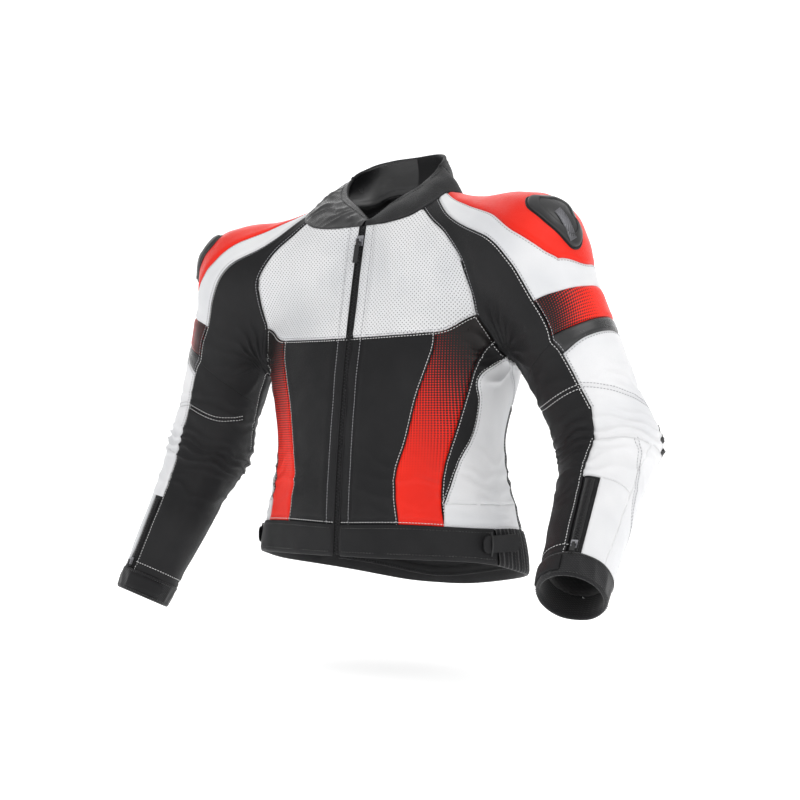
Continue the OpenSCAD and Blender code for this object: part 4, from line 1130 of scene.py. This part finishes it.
def collar(M, threads):
    """Standing collar in two halves, one glossy and creased, with a bound edge."""
    n = 110
    at = np.linspace(0, 1, n + 1)
    base = on_skin("torso", at_line(COLLAR_BASE, at), LEFT)
    rim_t = np.interp(at * 10, np.arange(11), RIM_AT) / 6
    rim = at_line(COLLAR_RIM, rim_t)
    up = unit(rim - base)
    along = unit(np.gradient(base, axis=0))
    out = unit(np.cross(up, along))
    centre = np.array([0.0, -66.0, 0.0])
    out *= np.sign(np.sum(out * (base - centre) * [1, 1, 0], -1))[:, None]
    n_skin = body_normal(base, WRISTS[LEFT])
    for side, tag in SIDES.items():
        glossy = side == RIGHT
        rows = [base - n_skin * 4, base + n_skin * 0.6]
        for v in np.linspace(0.06, 0.97, 16):
            swell = 4.5 * math.sin(math.pi * v)
            p = mix(base, rim, v) + out * swell
            if glossy:
                w = ridges(at * 17 + 0.6 * WARP(p) + v * 1.1) * 1.5 + FINE(p) * 0.7
                p = p + out * (w * math.sin(math.pi * min(1, v * 1.1)) ** 0.7)[:, None]
            else:
                p = p + out * (0.35 * MIDDLE(p))[:, None]
            rows.append(p)
        rows += [rim + out * 0.4 + up * 0.8, rim + up * 1.5 - out * COLLAR_T / 2,
                 rim - out * (COLLAR_T + 0.4) + up * 0.8]
        for v in np.linspace(0.95, 0.05, 9):
            rows.append(mix(base, rim, v) + out * (4.5 * math.sin(math.pi * v) - COLLAR_T - 0.6))
        under = on_skin("torso", at_line(COLLAR_BASE, at) - [0, 13], LEFT)
        rows += [base - n_skin * 6.5 - out * COLLAR_T, under - body_normal(under, WRISTS[LEFT]) * 8]
        obj = loft("collar_" + tag, rows, side, M["shine" if glossy else "black"], wrap_rows=True)
        ride_as(obj, "jacket", "collar" if side == LEFT else None)
        bind = tube("collar_binding_" + tag, rim + up * 0.4 - out * COLLAR_T / 2, 2.5, side, M["black"])
        ride_as(bind, "jacket", None)
        line = resampled(mix(base, rim, 0.88) + out * (4.5 * math.sin(math.pi * 0.88) + 0.3), 4.2)
        t = unit(np.gradient(line, axis=0))
        stitched(threads, "torso", side, line, t, unit(np.cross(t, [0, 0, 1.0])))


# share of the way down the band and height off the skin, round its section
BAND_ROWS = [(0.0, -2.0), (0.0, 0.6), (0.03, 1.5), (0.10, 1.9), (0.2, 2.0), (0.35, 2.1), (0.5, 2.1),
             (0.65, 2.1), (0.8, 2.0), (0.9, 1.9), (0.96, 1.4), (1.0, 0.2), (1.01, -1.6),
             (0.98, -3.4), (0.85, -4.2), (0.5, -4.4), (0.0, -4.4)]


def hem_band(name, side, a0, a1, material, shirr=0.0, step=0.8):
    """Closed length of the waistband between two torso angles."""
    n = max(6, int((a1 - a0) / step))
    a = np.linspace(a0, a1, n + 1)
    top, low = waist_cut(a0, a1), hem_cut(a0, a1)
    z0, z1 = np.interp(a, top[:, 0], top[:, 1]), np.interp(a, low[:, 0], low[:, 1])
    rows = []
    for v, out in BAND_ROWS:
        p = on_skin("torso", np.stack([a, mix(z0, z1, v)], -1), LEFT)
        h = out + (0.35 * MIDDLE(p) + 0.25 * BROAD(p)) * (out > 0)
        if shirr:
            h = h + shirr * ridges((a - a0) / 2.6) * (0.6 + 0.4 * math.sin(math.pi * min(1, v))) * (out > 0)
        else:
            edge = np.minimum(a - a0, a1 - a)
            h = h - 1.2 * hump(edge, 0.7) * (out > 0)
        rows.append(p + body_normal(p, WRISTS[LEFT]) * np.reshape(h, (-1, 1)))
    return loft(name, rows, side, material, wrap_rows=True)


def band_stitches(threads, side, a0, a1, v):
    a = np.linspace(a0, a1, 60)
    top, low = waist_cut(a0, a1), hem_cut(a0, a1)
    z = mix(np.interp(a, top[:, 0], top[:, 1]), np.interp(a, low[:, 0], low[:, 1]), v)
    line = resampled(on_skin("torso", np.stack([a, z], -1), LEFT), 4.4)
    t, n = frames_along(line, WRISTS[LEFT])
    stitched(threads, "torso", side, line + n * 2.25, t, n)


def waistband(M, threads):
    for side, tag in SIDES.items():
        front = hem_band("waistband_front_" + tag, side, 2.4, 78, M["black"])
        ride_as(front, "jacket", "waistband_" + tag)
        gusset = hem_band("waist_gusset_" + tag, side, 78, 112, M["stretch"], shirr=1.7, step=0.4)
        ride_as(gusset, "jacket", "waist_gussets" if side == LEFT else None)
        back = hem_band("waistband_back_" + tag, side, 112, 180, M["black"])
        ride_as(back, "jacket", "waistband_back" if side == LEFT else None)
        for v in (0.12, 0.86):
            band_stitches(threads, side, 5, 76, v)
            band_stitches(threads, side, 114, 179.5, v)


# ---------------------------------------------------------------- zips
def zip_frame(z):
    """Point, way down the zip, and way out of it, at a height on the front zip."""
    z = np.asarray(z, float)
    p = np.stack([0 * z, zip_y(z), z], -1)
    out = unit(p - np.array([0, ZIP_CY, ZIP_CZ]))
    down = np.stack([0 * z, out[..., 2], -out[..., 1]], -1)
    return p, down * np.sign(-down[..., 2:3]), out


def teeth(name, p, along, out, material, width=4.6, side=LEFT):
    pile = Thread()
    x = np.cross(out, along)
    for k, shift in ((0, 1.0), (1, -1.0)):
        q = p[k::2] + x[k::2] * shift
        pile.stitch(q * flipped(side), x[k::2] * flipped(side), out[k::2] * flipped(side),
                    length=width, wide=0.85, high=0.9)
    return pile.made(name, material)


def front_zip(M):
    """Two tapes with piping, one row of closed teeth, and the flap behind them."""
    z = np.linspace(-72, -556, 160)
    p, down, out = zip_frame(z)
    x = np.array([1.0, 0, 0])
    for side, tag in SIDES.items():
        rows = [p + x * w - out * d for w, d in ((0.15, 1.6), (1.2, 1.3), (3.0, 1.5), (7.5, 1.8),
                                                 (9.4, 3.2), (7.0, 3.4), (0.15, 3.2))]
        obj = loft("zip_tape_" + tag, rows, side, M["tape"], wrap_rows=True)
        ride_as(obj, "jacket", None)
        edge = tube("zip_piping_" + tag, p + x * (EDGE_X + 0.2) - out * 0.4, 1.25, side,
                    M["black"], around=8)
        ride_as(edge, "jacket", None)
    q, down, out = zip_frame(np.linspace(-76, -553, 190))
    obj = teeth("zip_teeth_front", q - out * 0.7, down, out, M["teeth"])
    ride_as(obj, "jacket", "main_zip")
    p, down, out = zip_frame(np.linspace(-80, -550, 40))
    flap = loft("zip_wind_flap", [p + x * w - out * d for w, d in (
        (-17, 5.6), (-16, 4.4), (0, 4.0), (16, 4.4), (17, 5.6), (0, 6.0))], LEFT, M["tape"],
        wrap_rows=True)
    ride_as(flap, "jacket", "wind_flap")


def rounded_outline(w, h, r, n=5):
    """Closed outline of a rounded rectangle, w wide and h high, about its middle."""
    pts = []
    for cx, cy, a0 in ((w / 2 - r, h / 2 - r, 0), (-w / 2 + r, h / 2 - r, 90),
                       (-w / 2 + r, -h / 2 + r, 180), (w / 2 - r, -h / 2 + r, 270)):
        for a in np.radians(np.linspace(a0, a0 + 90, n)):
            pts.append((cx + r * math.cos(a), cy + r * math.sin(a)))
    return np.array(pts)


def slab(name, outline, thick, place, material, side=LEFT):
    """Flat plate with rounded edges. place maps (x, y, height) arrays to points."""
    shrink = [(0.0, 0.82), (0.0, 0.90), (0.12, 0.97), (0.4, 1.0), (0.6, 1.0), (0.88, 0.97),
              (1.0, 0.90), (1.0, 0.82)]
    inner = np.maximum(np.abs(outline).max(0), 1e-6)
    rows = []
    for h, s in shrink:
        k = 1 - (1 - s) * 3 / inner.clip(6)
        rows.append(place(outline[:, 0] * k[0], outline[:, 1] * k[1], h * thick))
    middle = 0 * outline[:, 0]
    rows = [place(middle, middle, 0.0)] + rows + [place(middle, middle, thick)]
    return loft(name, rows, side, material, wrap_cols=True)


# ---------------------------------------------------------------- shoulder cups
CUP_OUTLINE = np.array([(.11, 55), (.09, 63), (.11, 69), (.13, 77), (.16, 82), (.20, 79),
                        (.22, 81), (.24, 78), (.25, 71), (.24, 63), (.20, 57), (.16, 54)])
CUP_MIDDLE = np.array([0.17, 68.0])


def closed_line(pts, n):
    """Smooth closed line through chart points."""
    p = np.concatenate([pts[-1:], pts, pts[:2]])
    return at_line(p, np.linspace(1, len(pts) + 1, n, endpoint=False) / (len(p) - 1))


def cup_height(r):
    """Height of the cup off the sleeve, r being 0 at its middle and 1 at its edge."""
    rim = 3.2 * np.clip((1 - r) / 0.06, 0, 1)
    dome = 5.6 * (1 - np.clip(r, 0, 1) ** 2.4)
    return 0.2 + rim + dome


def shoulder_cup(M, side, tag):
    ring = closed_line(CUP_OUTLINE, 84)
    rows = []
    wrist = WRISTS[side]
    for r in (1.0, 1.0, 0.985, 0.96, 0.93, 0.88, 0.82, 0.76, 0.70, 0.66, 0.655, 0.645, 0.6, 0.5,
              0.38, 0.25, 0.12, 0.01):
        p = on_skin("sleeve", mix(CUP_MIDDLE, ring, r), side)
        n = body_normal(p, wrist)
        h = cup_height(r) if rows else -1.5
        if r < 0.657:
            h = h - 1.9
        rows.append(p + n * h)
    obj = loft("shoulder_cup_" + tag, rows, side, M["cup"], wrap_cols=True)
    ride_as(obj, "sleeve_" + tag, "shoulder_cup_" + tag)
    hatched_plate(M, side, tag)
    edge = on_skin("sleeve", mix(CUP_MIDDLE, ring, 1.05), side)
    n = body_normal(edge, wrist)
    trim = loft("cup_surround_" + tag, [edge - n * 1.5, edge + n * 0.9,
                mix(edge, edge.mean(0), 0.03) + n * 2.2, mix(edge, edge.mean(0), 0.07) + n * 1.2,
                mix(edge, edge.mean(0), 0.08) - n * 1.5], side, M["stretch"], wrap_cols=True)
    ride_as(trim, "sleeve_" + tag, None)


def hatched_plate(M, side, tag):
    """Small plate let into the cup, cut by slanting grooves."""
    nu, nv = 40, 16
    u, v = np.meshgrid(np.linspace(0, 1, nu + 1), np.linspace(0, 1, nv + 1))
    a, b = [[0.165, 62], [0.232, 62]], [[0.165, 67.5], [0.232, 69.5]]
    at = coons(a, b, [a[0], b[0]], [a[1], b[1]], u.ravel(), v.ravel())
    p = on_skin("sleeve", at, side)
    n = body_normal(p, WRISTS[side])
    r = np.linalg.norm((at - CUP_MIDDLE) / [0.078, 15.0], axis=1)
    edge = np.minimum(np.minimum(u, 1 - u) * 3, np.minimum(v, 1 - v)).ravel()
    h = cup_height(np.clip(r, 0, 0.66)) - 1.2 + 1.1 * clip01(edge / 0.12)
    h = h - 0.9 * (np.abs(np.sin((u * 9 + v * 3.2).ravel() * math.pi)) < 0.35) * clip01(edge / 0.14 - 0.3)
    rows = (p + n * h[:, None]).reshape(nv + 1, nu + 1, 3)
    obj = loft("cup_plate_" + tag, rows, side, M["plate"])
    ride_as(obj, "sleeve_" + tag, None)


# ---------------------------------------------------------------- cuffs and straps
def cuff_frame(side):
    wrist = WRISTS[side]
    u, h, _ = elbow_frame(wrist)
    return u, -np.cross(u, h), np.linalg.norm(wrist - ELBOW)


def cuff_point(side, length, angle, out=0.0):
    """Points on the forearm's cone, at a distance down it and an angle round it."""
    u, front, total = cuff_frame(side)
    a, length, out = np.broadcast_arrays(np.asarray(angle, float), length, out)
    d = ring_dir(np.broadcast_to(u, (a.size, 3)), front, a.ravel())
    r = mix(ELBOW_R, WRIST_R, length.ravel() / total) + out.ravel()
    return ELBOW + length.ravel()[:, None] * u + d * r[:, None]


# share of the way down the cuff and height off the sleeve, round its section
CUFF_ROWS = [(0.0, -1.5), (0.0, 0.7), (0.03, 1.5), (0.1, 1.8), (0.2, 1.7), (0.3, 1.8), (0.45, 1.9),
             (0.6, 1.8), (0.75, 1.7), (0.88, 1.8), (0.95, 1.5), (1.0, 0.4), (1.01, -1.4),
             (0.97, -2.9), (0.7, -3.3), (0.3, -3.4), (-0.6, -4.5), (-1.2, -5.0)]


def cuffs(M, threads):
    for side, tag in SIDES.items():
        u, _, total = cuff_frame(side)
        a = np.linspace(0, 360, 150, endpoint=False)
        rows = []
        for v, out in CUFF_ROWS:
            l = total - CUFF_W + v * CUFF_W
            q = cuff_point(side, l, a)
            swell = math.sin(math.pi * min(1, max(0, v)))
            soft = 0.5 * MIDDLE(q) + 0.9 * ridges(a / 24 + 0.3 * WARP(q)) * swell
            rows.append(cuff_point(side, l, a, out + soft * (out > 0)))
        obj = loft("cuff_band_" + tag, rows, side, M["stretch"], wrap_cols=True)
        ride_as(obj, "forearm_" + tag, "cuff_band_" + tag)
        for v in (0.1, 0.9):
            l = total - CUFF_W + v * CUFF_W
            ring = resampled(cuff_point(side, l, np.linspace(0, 360, 200), 2.0), 4.2)
            t = unit(np.gradient(ring, axis=0))
            n = unit(ring - (ELBOW + l * u))
            stitched(threads, "cuff", side, ring, t, n)
        cuff_strap(M, side, tag)
        cuff_zip(M, side, tag)


def cuff_strap(M, side, tag):
    total = cuff_frame(side)[2]
    w, a0, a1 = 11.5, -56.0, 20.0
    mid = total - 18.0
    s = np.linspace(0, 1, 46)
    ang = mix(a0, a1, s)
    reach = np.radians(ang - a0) * 46
    half = np.where(reach < w, np.sqrt(np.maximum(0.02, 1 - (1 - reach / w) ** 2)) * w, w)
    rows = []
    for k, out in ((-0.98, 2.4), (-1.0, 3.2), (-0.9, 4.3), (-0.5, 4.6), (0, 4.7), (0.5, 4.6),
                   (0.9, 4.3), (1.0, 3.2), (0.98, 2.4), (0, 2.3)):
        rows.append(cuff_point(side, mid + k * half, ang, out))
    obj = loft("cuff_strap_" + tag, rows, side, M["black"], wrap_rows=True)
    ride_as(obj, "cuff_strap_" + tag, "cuff_strap_" + tag)


ZIP_ANGLE, ZIP_LEN = 34.0, 118.0


def cuff_zip(M, side, tag):
    u, _, total = cuff_frame(side)
    l1 = total - CUFF_W - 2
    net = Net(side).patch("forearm", [[0.42, 20], [0.7, 21], [1, 22]], [[0.42, 43], [0.7, 45], [1, 47]],
                          [[0.42, 20], [0.42, 43]], [[1, 22], [1, 47]])
    obj = leather("cuff_gusset_" + tag, net, M["black"], lift=-2.6)
    ride_as(obj, "forearm_" + tag, None)
    l = np.linspace(l1, l1 - ZIP_LEN, 60)
    rows = [cuff_point(side, l, ZIP_ANGLE + w, d) for w, d in (
        (-6.6, -1.4), (-6.6, -0.6), (-1, -0.3), (0, -0.2), (1, -0.3), (6.6, -0.6), (6.6, -1.4), (0, -1.5))]
    obj = loft("cuff_zip_tape_" + tag, rows, side, M["tape"], wrap_rows=True)
    ride_as(obj, "forearm_" + tag, None)
    p = cuff_point(side, np.linspace(l1 - 2, l1 - ZIP_LEN + 2, 56), ZIP_ANGLE, 0.3)
    along = unit(np.gradient(p, axis=0))
    out = unit(p - (ELBOW + ((p - ELBOW) @ u)[:, None] * u))
    obj = teeth("cuff_zip_teeth_" + tag, p, along, out, M["teeth"], width=3.6, side=side)
    ride_as(obj, "forearm_" + tag, "cuff_zip_" + tag)


WAIST_STRAP_OUT, WAIST_STRAP_THICK = 6.9, 2.4


def waist_straps(M):
    """Rounded tabs over the side gussets, each through a rubber loop."""
    for side, tag in SIDES.items():
        p, q = on_skin("torso", [[70, -538], [86, -540]], LEFT)
        d = unit((q - p) * [1, 1, 0])
        out = np.array([d[1], -d[0], 0])
        length = np.linalg.norm((q - p)[:2])
        up = np.array([0, 0, 1.0])

        def place(a, b, h):
            return p + out * WAIST_STRAP_OUT + np.multiply.outer(a + length / 2 + 6.5, d) \
                + np.multiply.outer(b, up) + out * h

        outline = rounded_outline(length + 12, 25, 9.0, 7)
        obj = slab("waist_strap_" + tag, outline, WAIST_STRAP_THICK, place, M["black"], side)
        ride_as(obj, "waist_strap_" + tag, "waist_strap_" + tag)
        loop = tube("waist_loop_" + tag, p + d * (length * 0.28) + out * 7.6
                    + np.array([[0, 0, z] for z in np.linspace(-17, 17, 18)])
                    + np.multiply.outer(3.2 * np.cos(np.linspace(-1.5, 1.5, 18)) - 0.4, out),
                    1.5, side, M["rubber"])
        ride_as(loop, "waist_strap_" + tag, None)


# ---------------------------------------------------------------- inside
def deep_net(side):
    """The whole inside of one half of the torso, from the same seams as the leather."""
    net = Net(side, 15.0)
    net.patch("torso", [front_at(5, -520), front_at(98, -520)], CHEST_LOW_INNER,
              [front_at(5, -520), front_at(5, -241)], BAND_FRONT)
    net.patch("torso", CHEST_LOW, np.concatenate([[front_at(6, -76)], COLLAR_LINE, [CHEST_SEAM[-1]]]),
              [front_at(5, -241), front_at(6, -76)], CHEST_SEAM)
    net.patch("torso", [front_at(98, -520), front_at(156, -520)],
              np.concatenate([CHEST_LOW_OUTER, CORNER_SEAM[1:]]), BAND_FRONT, BAND_REAR)
    net.patch("torso", [front_at(156, -520), [100, -525]], [CORNER_SEAM[-1], BACK_EDGE[0]], BAND_REAR,
              [[100, -525], [100, -410]] + SIDE_TOP)
    net.patch("torso", [[100, -525], [140, -545], [180, -560]], BACK_LOW[:3],
              [[100, -525], [100, -430], [100, -340]], [[180, -560], [180, -430], [180, -334]])
    net.patch("torso", BACK_LOW[:3], [BACK_EDGE[0], [135, -278], [180, -276]], SIDE_TOP,
              [[180, -334], [180, -276]])
    net.patch("torso", [BACK_EDGE[0], [135, -278], [180, -276]],
              [BACK_EDGE[-1], [149, 0], [180, 0]], BACK_EDGE, [[180, -276], [180, -130], [180, 0]])
    net.patch("shoulder", FRONT_SEAM, STRIPE_FRONT, [FRONT_SEAM[0], STRIPE_FRONT[0]], ARMHOLE_FRONT)
    net.patch("shoulder", STRIPE_FRONT, RED_BACK, [STRIPE_FRONT[0], STRIPE_TOP[0], RED_BACK[0]],
              [STRIPE_FRONT[-1], STRIPE_TOP[-1], RED_BACK[-1]])
    net.patch("shoulder", RED_BACK, BACK_SEAM, [RED_BACK[0], BACK_SEAM[0]], ARMHOLE_REAR)
    return net


LINING = dict(bumps=False, lift=-7.0, depth=0.2)


def tunnel(net, chart, first, last, nv=None):
    """The whole way round an arm, between two distances along it."""
    net.patch(chart, [[first, -90], [last, -90]], [[first, 270], [last, 270]],
              [[first, a] for a in range(-90, 271, 45)], [[last, a] for a in range(-90, 271, 45)],
              nv=nv)
    return net


def shoulder_room(p, c):
    """Extra depth of the sleeve lining over the shoulder pad."""
    around = clip01((100 - np.abs(c[:, 1] - 82)) / 30 - 1.6)
    return -PAD_ROOM * around * clip01((0.42 - c[:, 0]) / 0.06)


def inside(M):
    for side, tag in SIDES.items():
        obj = leather("lining_body_" + tag, deep_net(side), M["mesh"], **LINING)
        ride_as(obj, "jacket", "lining" if side == LEFT else None)
        upper = tunnel(Net(side, 15.0), "sleeve", 0, 0.7)
        obj = leather("lining_upper_" + tag, upper, M["mesh"], extra=shoulder_room, **LINING)
        upper_blend(obj, side)
        lower = Net(side, 15.0)
        for chart, first in (("sleeve", 0.7), ("elbow", -1), ("forearm", 0)):
            tunnel(lower, chart, first, 1, 30)
        obj = leather("lining_lower_" + tag, lower, M["mesh"], extra=forearm_room, **LINING)
        lower_blend(obj, side)
        armour(M, side, tag)
    protector(M)


PAD_ROOM = 6.5


def forearm_room(p, c):
    """Extra depth of the sleeve lining over the elbow pad."""
    at = (p - ELBOW) @ unit(WRISTS[LEFT] - ELBOW)
    over = clip01((c[:, 1] - 95) / 20) * clip01((at - 4) / 8) * clip01((150 - at) / 20)
    return -PAD_ROOM * over * (c[:, 0] > 0)


def pad_shell(name, chart, a, b, c, d, d0, d1, side, material):
    """Domed pad between two depths under the skin, thin at its edges."""
    nu, nv = 26, 26
    u, v = np.meshgrid(np.linspace(0, 1, nu + 1), np.linspace(0, 1, nv + 1))
    at = coons(a, b, c, d, u.ravel(), v.ravel())
    p = on_skin(chart, at, side)
    n = body_normal(p, WRISTS[side])
    e = np.minimum(np.minimum(u, 1 - u), np.minimum(v, 1 - v)).ravel()
    full = np.sqrt(clip01(e / 0.16))
    rib = 0.6 * np.abs(np.sin(u * 6 * math.pi) * np.sin(v * 6 * math.pi)).ravel()
    middle = (d0 + d1) / 2
    top = p - n * (middle - (middle - d0) * full + rib * full)[:, None]
    low = p - n * (middle + (d1 - middle) * full)[:, None]
    count = len(p)
    quads = lattice(nv + 1, nu + 1)
    faces = np.concatenate([quads, quads[:, ::-1] + count])
    rim = edge_loops(quads.tolist())
    walls = [[b_, a_, a_ + count, b_ + count] for a_, b_ in rim]
    verts = np.concatenate([top, low]) * flipped(side) * MM
    obj = arrays_to_mesh(name, verts, faces.tolist() + walls)
    obj.data.materials.append(material)
    return obj


def armour(M, side, tag):
    obj = pad_shell("shoulder_pad_" + tag, "sleeve", [[0.03, 45], [0.30, 45]], [[0.03, 120], [0.30, 120]],
                    [[0.03, 45], [0.03, 120]], [[0.30, 45], [0.33, 82], [0.30, 120]], 5.0, 12.0,
                    side, M["foam"])
    ride_as(obj, "sleeve_" + tag, "shoulder_pad_" + tag)
    obj = pad_shell("elbow_pad_" + tag, "forearm", [[0.02, 125], [0.5, 140]], [[0.02, 230], [0.5, 220]],
                    [[0.02, 125], [0.02, 230]], [[0.5, 140], [0.55, 180], [0.5, 220]], 4.6, 12.0,
                    side, M["foam"])
    ride_as(obj, "forearm_" + tag, "elbow_pad_" + tag)


def protector(M):
    obj = pad_shell("back_protector_pocket", "torso", [[150, -480], [180, -486], [210, -480]],
                    [[140, -90], [180, -80], [220, -90]], [[150, -480], [138, -250], [140, -90]],
                    [[210, -480], [222, -250], [220, -90]], 9.0, 17.0, LEFT, M["mesh"])
    ride_as(obj, "jacket", "back_protector")


def trouser_zip(M):
    """Half a zip inside the back hem, its teeth facing in."""
    t = np.linspace(0, 1, 130)
    low = at_line([[120, -586], [180, -610], [240, -586]], t)
    high = at_line([[120, -570], [180, -594], [240, -570]], t)
    rows = []
    for v, depth in ((0, 5.0), (0.04, 4.5), (0.5, 4.5), (0.96, 4.5), (1, 5.0), (0.96, 5.9),
                     (0.5, 6.0), (0.04, 5.9)):
        p = on_skin("torso", mix(low, high, v), LEFT)
        rows.append(p - body_normal(p, WRISTS[LEFT]) * depth)
    ride_as(loft("trouser_zip_tape", rows, LEFT, M["tape"], wrap_rows=True), "jacket",
            "trouser_zip")
    mid = resampled(on_skin("torso", mix(low, high, 0.16), LEFT), 2.4)
    along, n = frames_along(mid, WRISTS[LEFT])
    ride_as(teeth("trouser_zip_teeth", mid - n * 6.2, along, -n, M["teeth"], width=3.4), "jacket",
            None)


def hanger_loop(M):
    """Flat tape bowed across the back of the neck."""
    a = np.radians(np.linspace(248, 292, 40))
    rows = []
    for r, z in ((55.5, -5.8), (55.5, -0.2), (56.0, 0.0), (56.5, -0.2), (56.5, -5.8), (56.0, -6.0)):
        rows.append(np.stack([r * np.cos(a), 56 + r * np.sin(a), z + 0 * a], -1))
    ride_as(loft("hanger_loop_tape", rows, LEFT, M["tape"], wrap_rows=True), "jacket",
            "hanger_loop")


def cad_finish(M):
    """Materials for the hard sliders and pullers, which keep the shape they have."""
    plan = {"zip_slider": "metal", "zip_pull": "rubber"}
    for tag in SIDES.values():
        plan["cuff_slider_" + tag] = "metal"
        plan["cuff_pull_" + tag] = "rubber"
    for node, key in plan.items():
        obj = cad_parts[node]
        obj.data.materials.clear()
        obj.data.materials.append(M[key])


# ---------------------------------------------------------------- floor, light and camera
def staging():
    """White floor that curves up behind the jacket, and an even white sky."""
    near, far, low, bend, width, rise = -7.0, 1.6, -0.74, 3.2, 9.0, 7
    a = np.linspace(0, math.pi / 2, 24)[1:]
    profile = [(near, low), (far, low)]
    profile += list(zip(far + bend * np.sin(a), low + bend * (1 - np.cos(a))))
    profile += [(far + bend, low + rise)]
    verts = [(x, y, z) for y, z in profile for x in (-width, width)]
    floor = arrays_to_mesh("floor", verts, lattice(len(profile), 2))
    floor.rotation_euler = (0, 0, math.radians(VIEW_TURN))
    m = Nodes("studio_white")
    m.set(Base_Color=(0.93, 0.93, 0.93, 1), Roughness=0.9, Emission_Color=(1, 1, 1, 1),
          Emission_Strength=0.5)
    floor.data.materials.append(m.mat)
    world = bpy.data.worlds.new("studio")
    world.use_nodes = True
    world.node_tree.nodes["Background"].inputs[0].default_value = (1, 1, 1, 1)
    world.node_tree.nodes["Background"].inputs[1].default_value = 0.7
    bpy.context.scene.world = world


def lamp(name, at, aim, size):
    data = bpy.data.lights.new(name, "AREA")
    data.shape, data.size, data.size_y = "RECTANGLE", size[0], size[1]
    data.energy = LAMP_POWER[name]
    obj = bpy.data.objects.new(name, data)
    obj.location = at
    obj.rotation_euler = (Vector(aim) - Vector(at)).to_track_quat("-Z", "Y").to_euler()
    bpy.context.scene.collection.objects.link(obj)


LAMP_POWER = {"key": 17, "fill": 2, "top": 6, "rim": 5}
VIEW_TURN, VIEW_AT = 33.0, (0.0, -0.072, -0.405)
VIEW_DISTANCE = 1.9
LENS_MM, SENSOR_MM = 55.575, 36.0
SHIFT_X, SHIFT_Y = 0.011, 0.0625


def camera():
    """Camera and four soft lamps set about the direction it looks from."""
    a = math.radians(VIEW_TURN)
    toward = Vector((math.sin(a), -math.cos(a), 0))
    data = bpy.data.cameras.new("camera")
    data.lens, data.sensor_width = LENS_MM, SENSOR_MM
    data.shift_x, data.shift_y = SHIFT_X, SHIFT_Y
    obj = bpy.data.objects.new("camera", data)
    obj.location = Vector(VIEW_AT) + toward * VIEW_DISTANCE
    obj.rotation_euler = (-toward).to_track_quat("-Z", "Y").to_euler()
    bpy.context.scene.collection.objects.link(obj)
    bpy.context.scene.camera = obj
    right = Vector((math.cos(a), math.sin(a), 0))
    mid = Vector(VIEW_AT)
    lamp("key", mid + toward * 1.7 + right * 1.2 + Vector((0, 0, 1.6)), mid, (1.5, 1.5))
    lamp("fill", mid + toward * 1.6 - right * 1.9 + Vector((0, 0, 0.5)), mid, (1.8, 2.2))
    lamp("top", mid + Vector((0, 0, 1.9)), mid, (2.4, 2.4))
    lamp("rim", mid - toward * 1.8 + Vector((0, 0, 1.2)), mid, (2.4, 1.4))


def build():
    M = make_materials()
    threads = {}
    sew(threads, seam_table())
    torso_panels(M)
    shoulders_and_sleeves(M)
    collar(M, threads)
    waistband(M, threads)
    waist_straps(M)
    front_zip(M)
    for side, tag in SIDES.items():
        shoulder_cup(M, side, tag)
    cuffs(M, threads)
    inside(M)
    trouser_zip(M)
    hanger_loop(M)
    cad_finish(M)
    for (place, side, colour), pile in threads.items():
        tag = SIDES[side]
        obj = pile.made(f"{colour}_{place}_{tag}", M[colour])
        if place == "torso":
            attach(obj, "jacket")
        elif place == "cuff":
            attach(obj, "forearm_" + tag)
        elif place in ("shoulder", "upper"):
            upper_blend(obj, side)
        else:
            lower_blend(obj, side)
    staging()
    camera()


bpy.context.scene.view_settings.view_transform = "Standard"
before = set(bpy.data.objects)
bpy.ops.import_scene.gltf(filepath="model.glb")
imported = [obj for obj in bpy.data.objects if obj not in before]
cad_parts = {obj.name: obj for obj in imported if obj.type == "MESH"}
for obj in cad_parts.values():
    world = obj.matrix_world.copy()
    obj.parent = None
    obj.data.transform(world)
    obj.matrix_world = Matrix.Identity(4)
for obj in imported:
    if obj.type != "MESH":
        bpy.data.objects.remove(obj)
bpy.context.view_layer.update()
build()
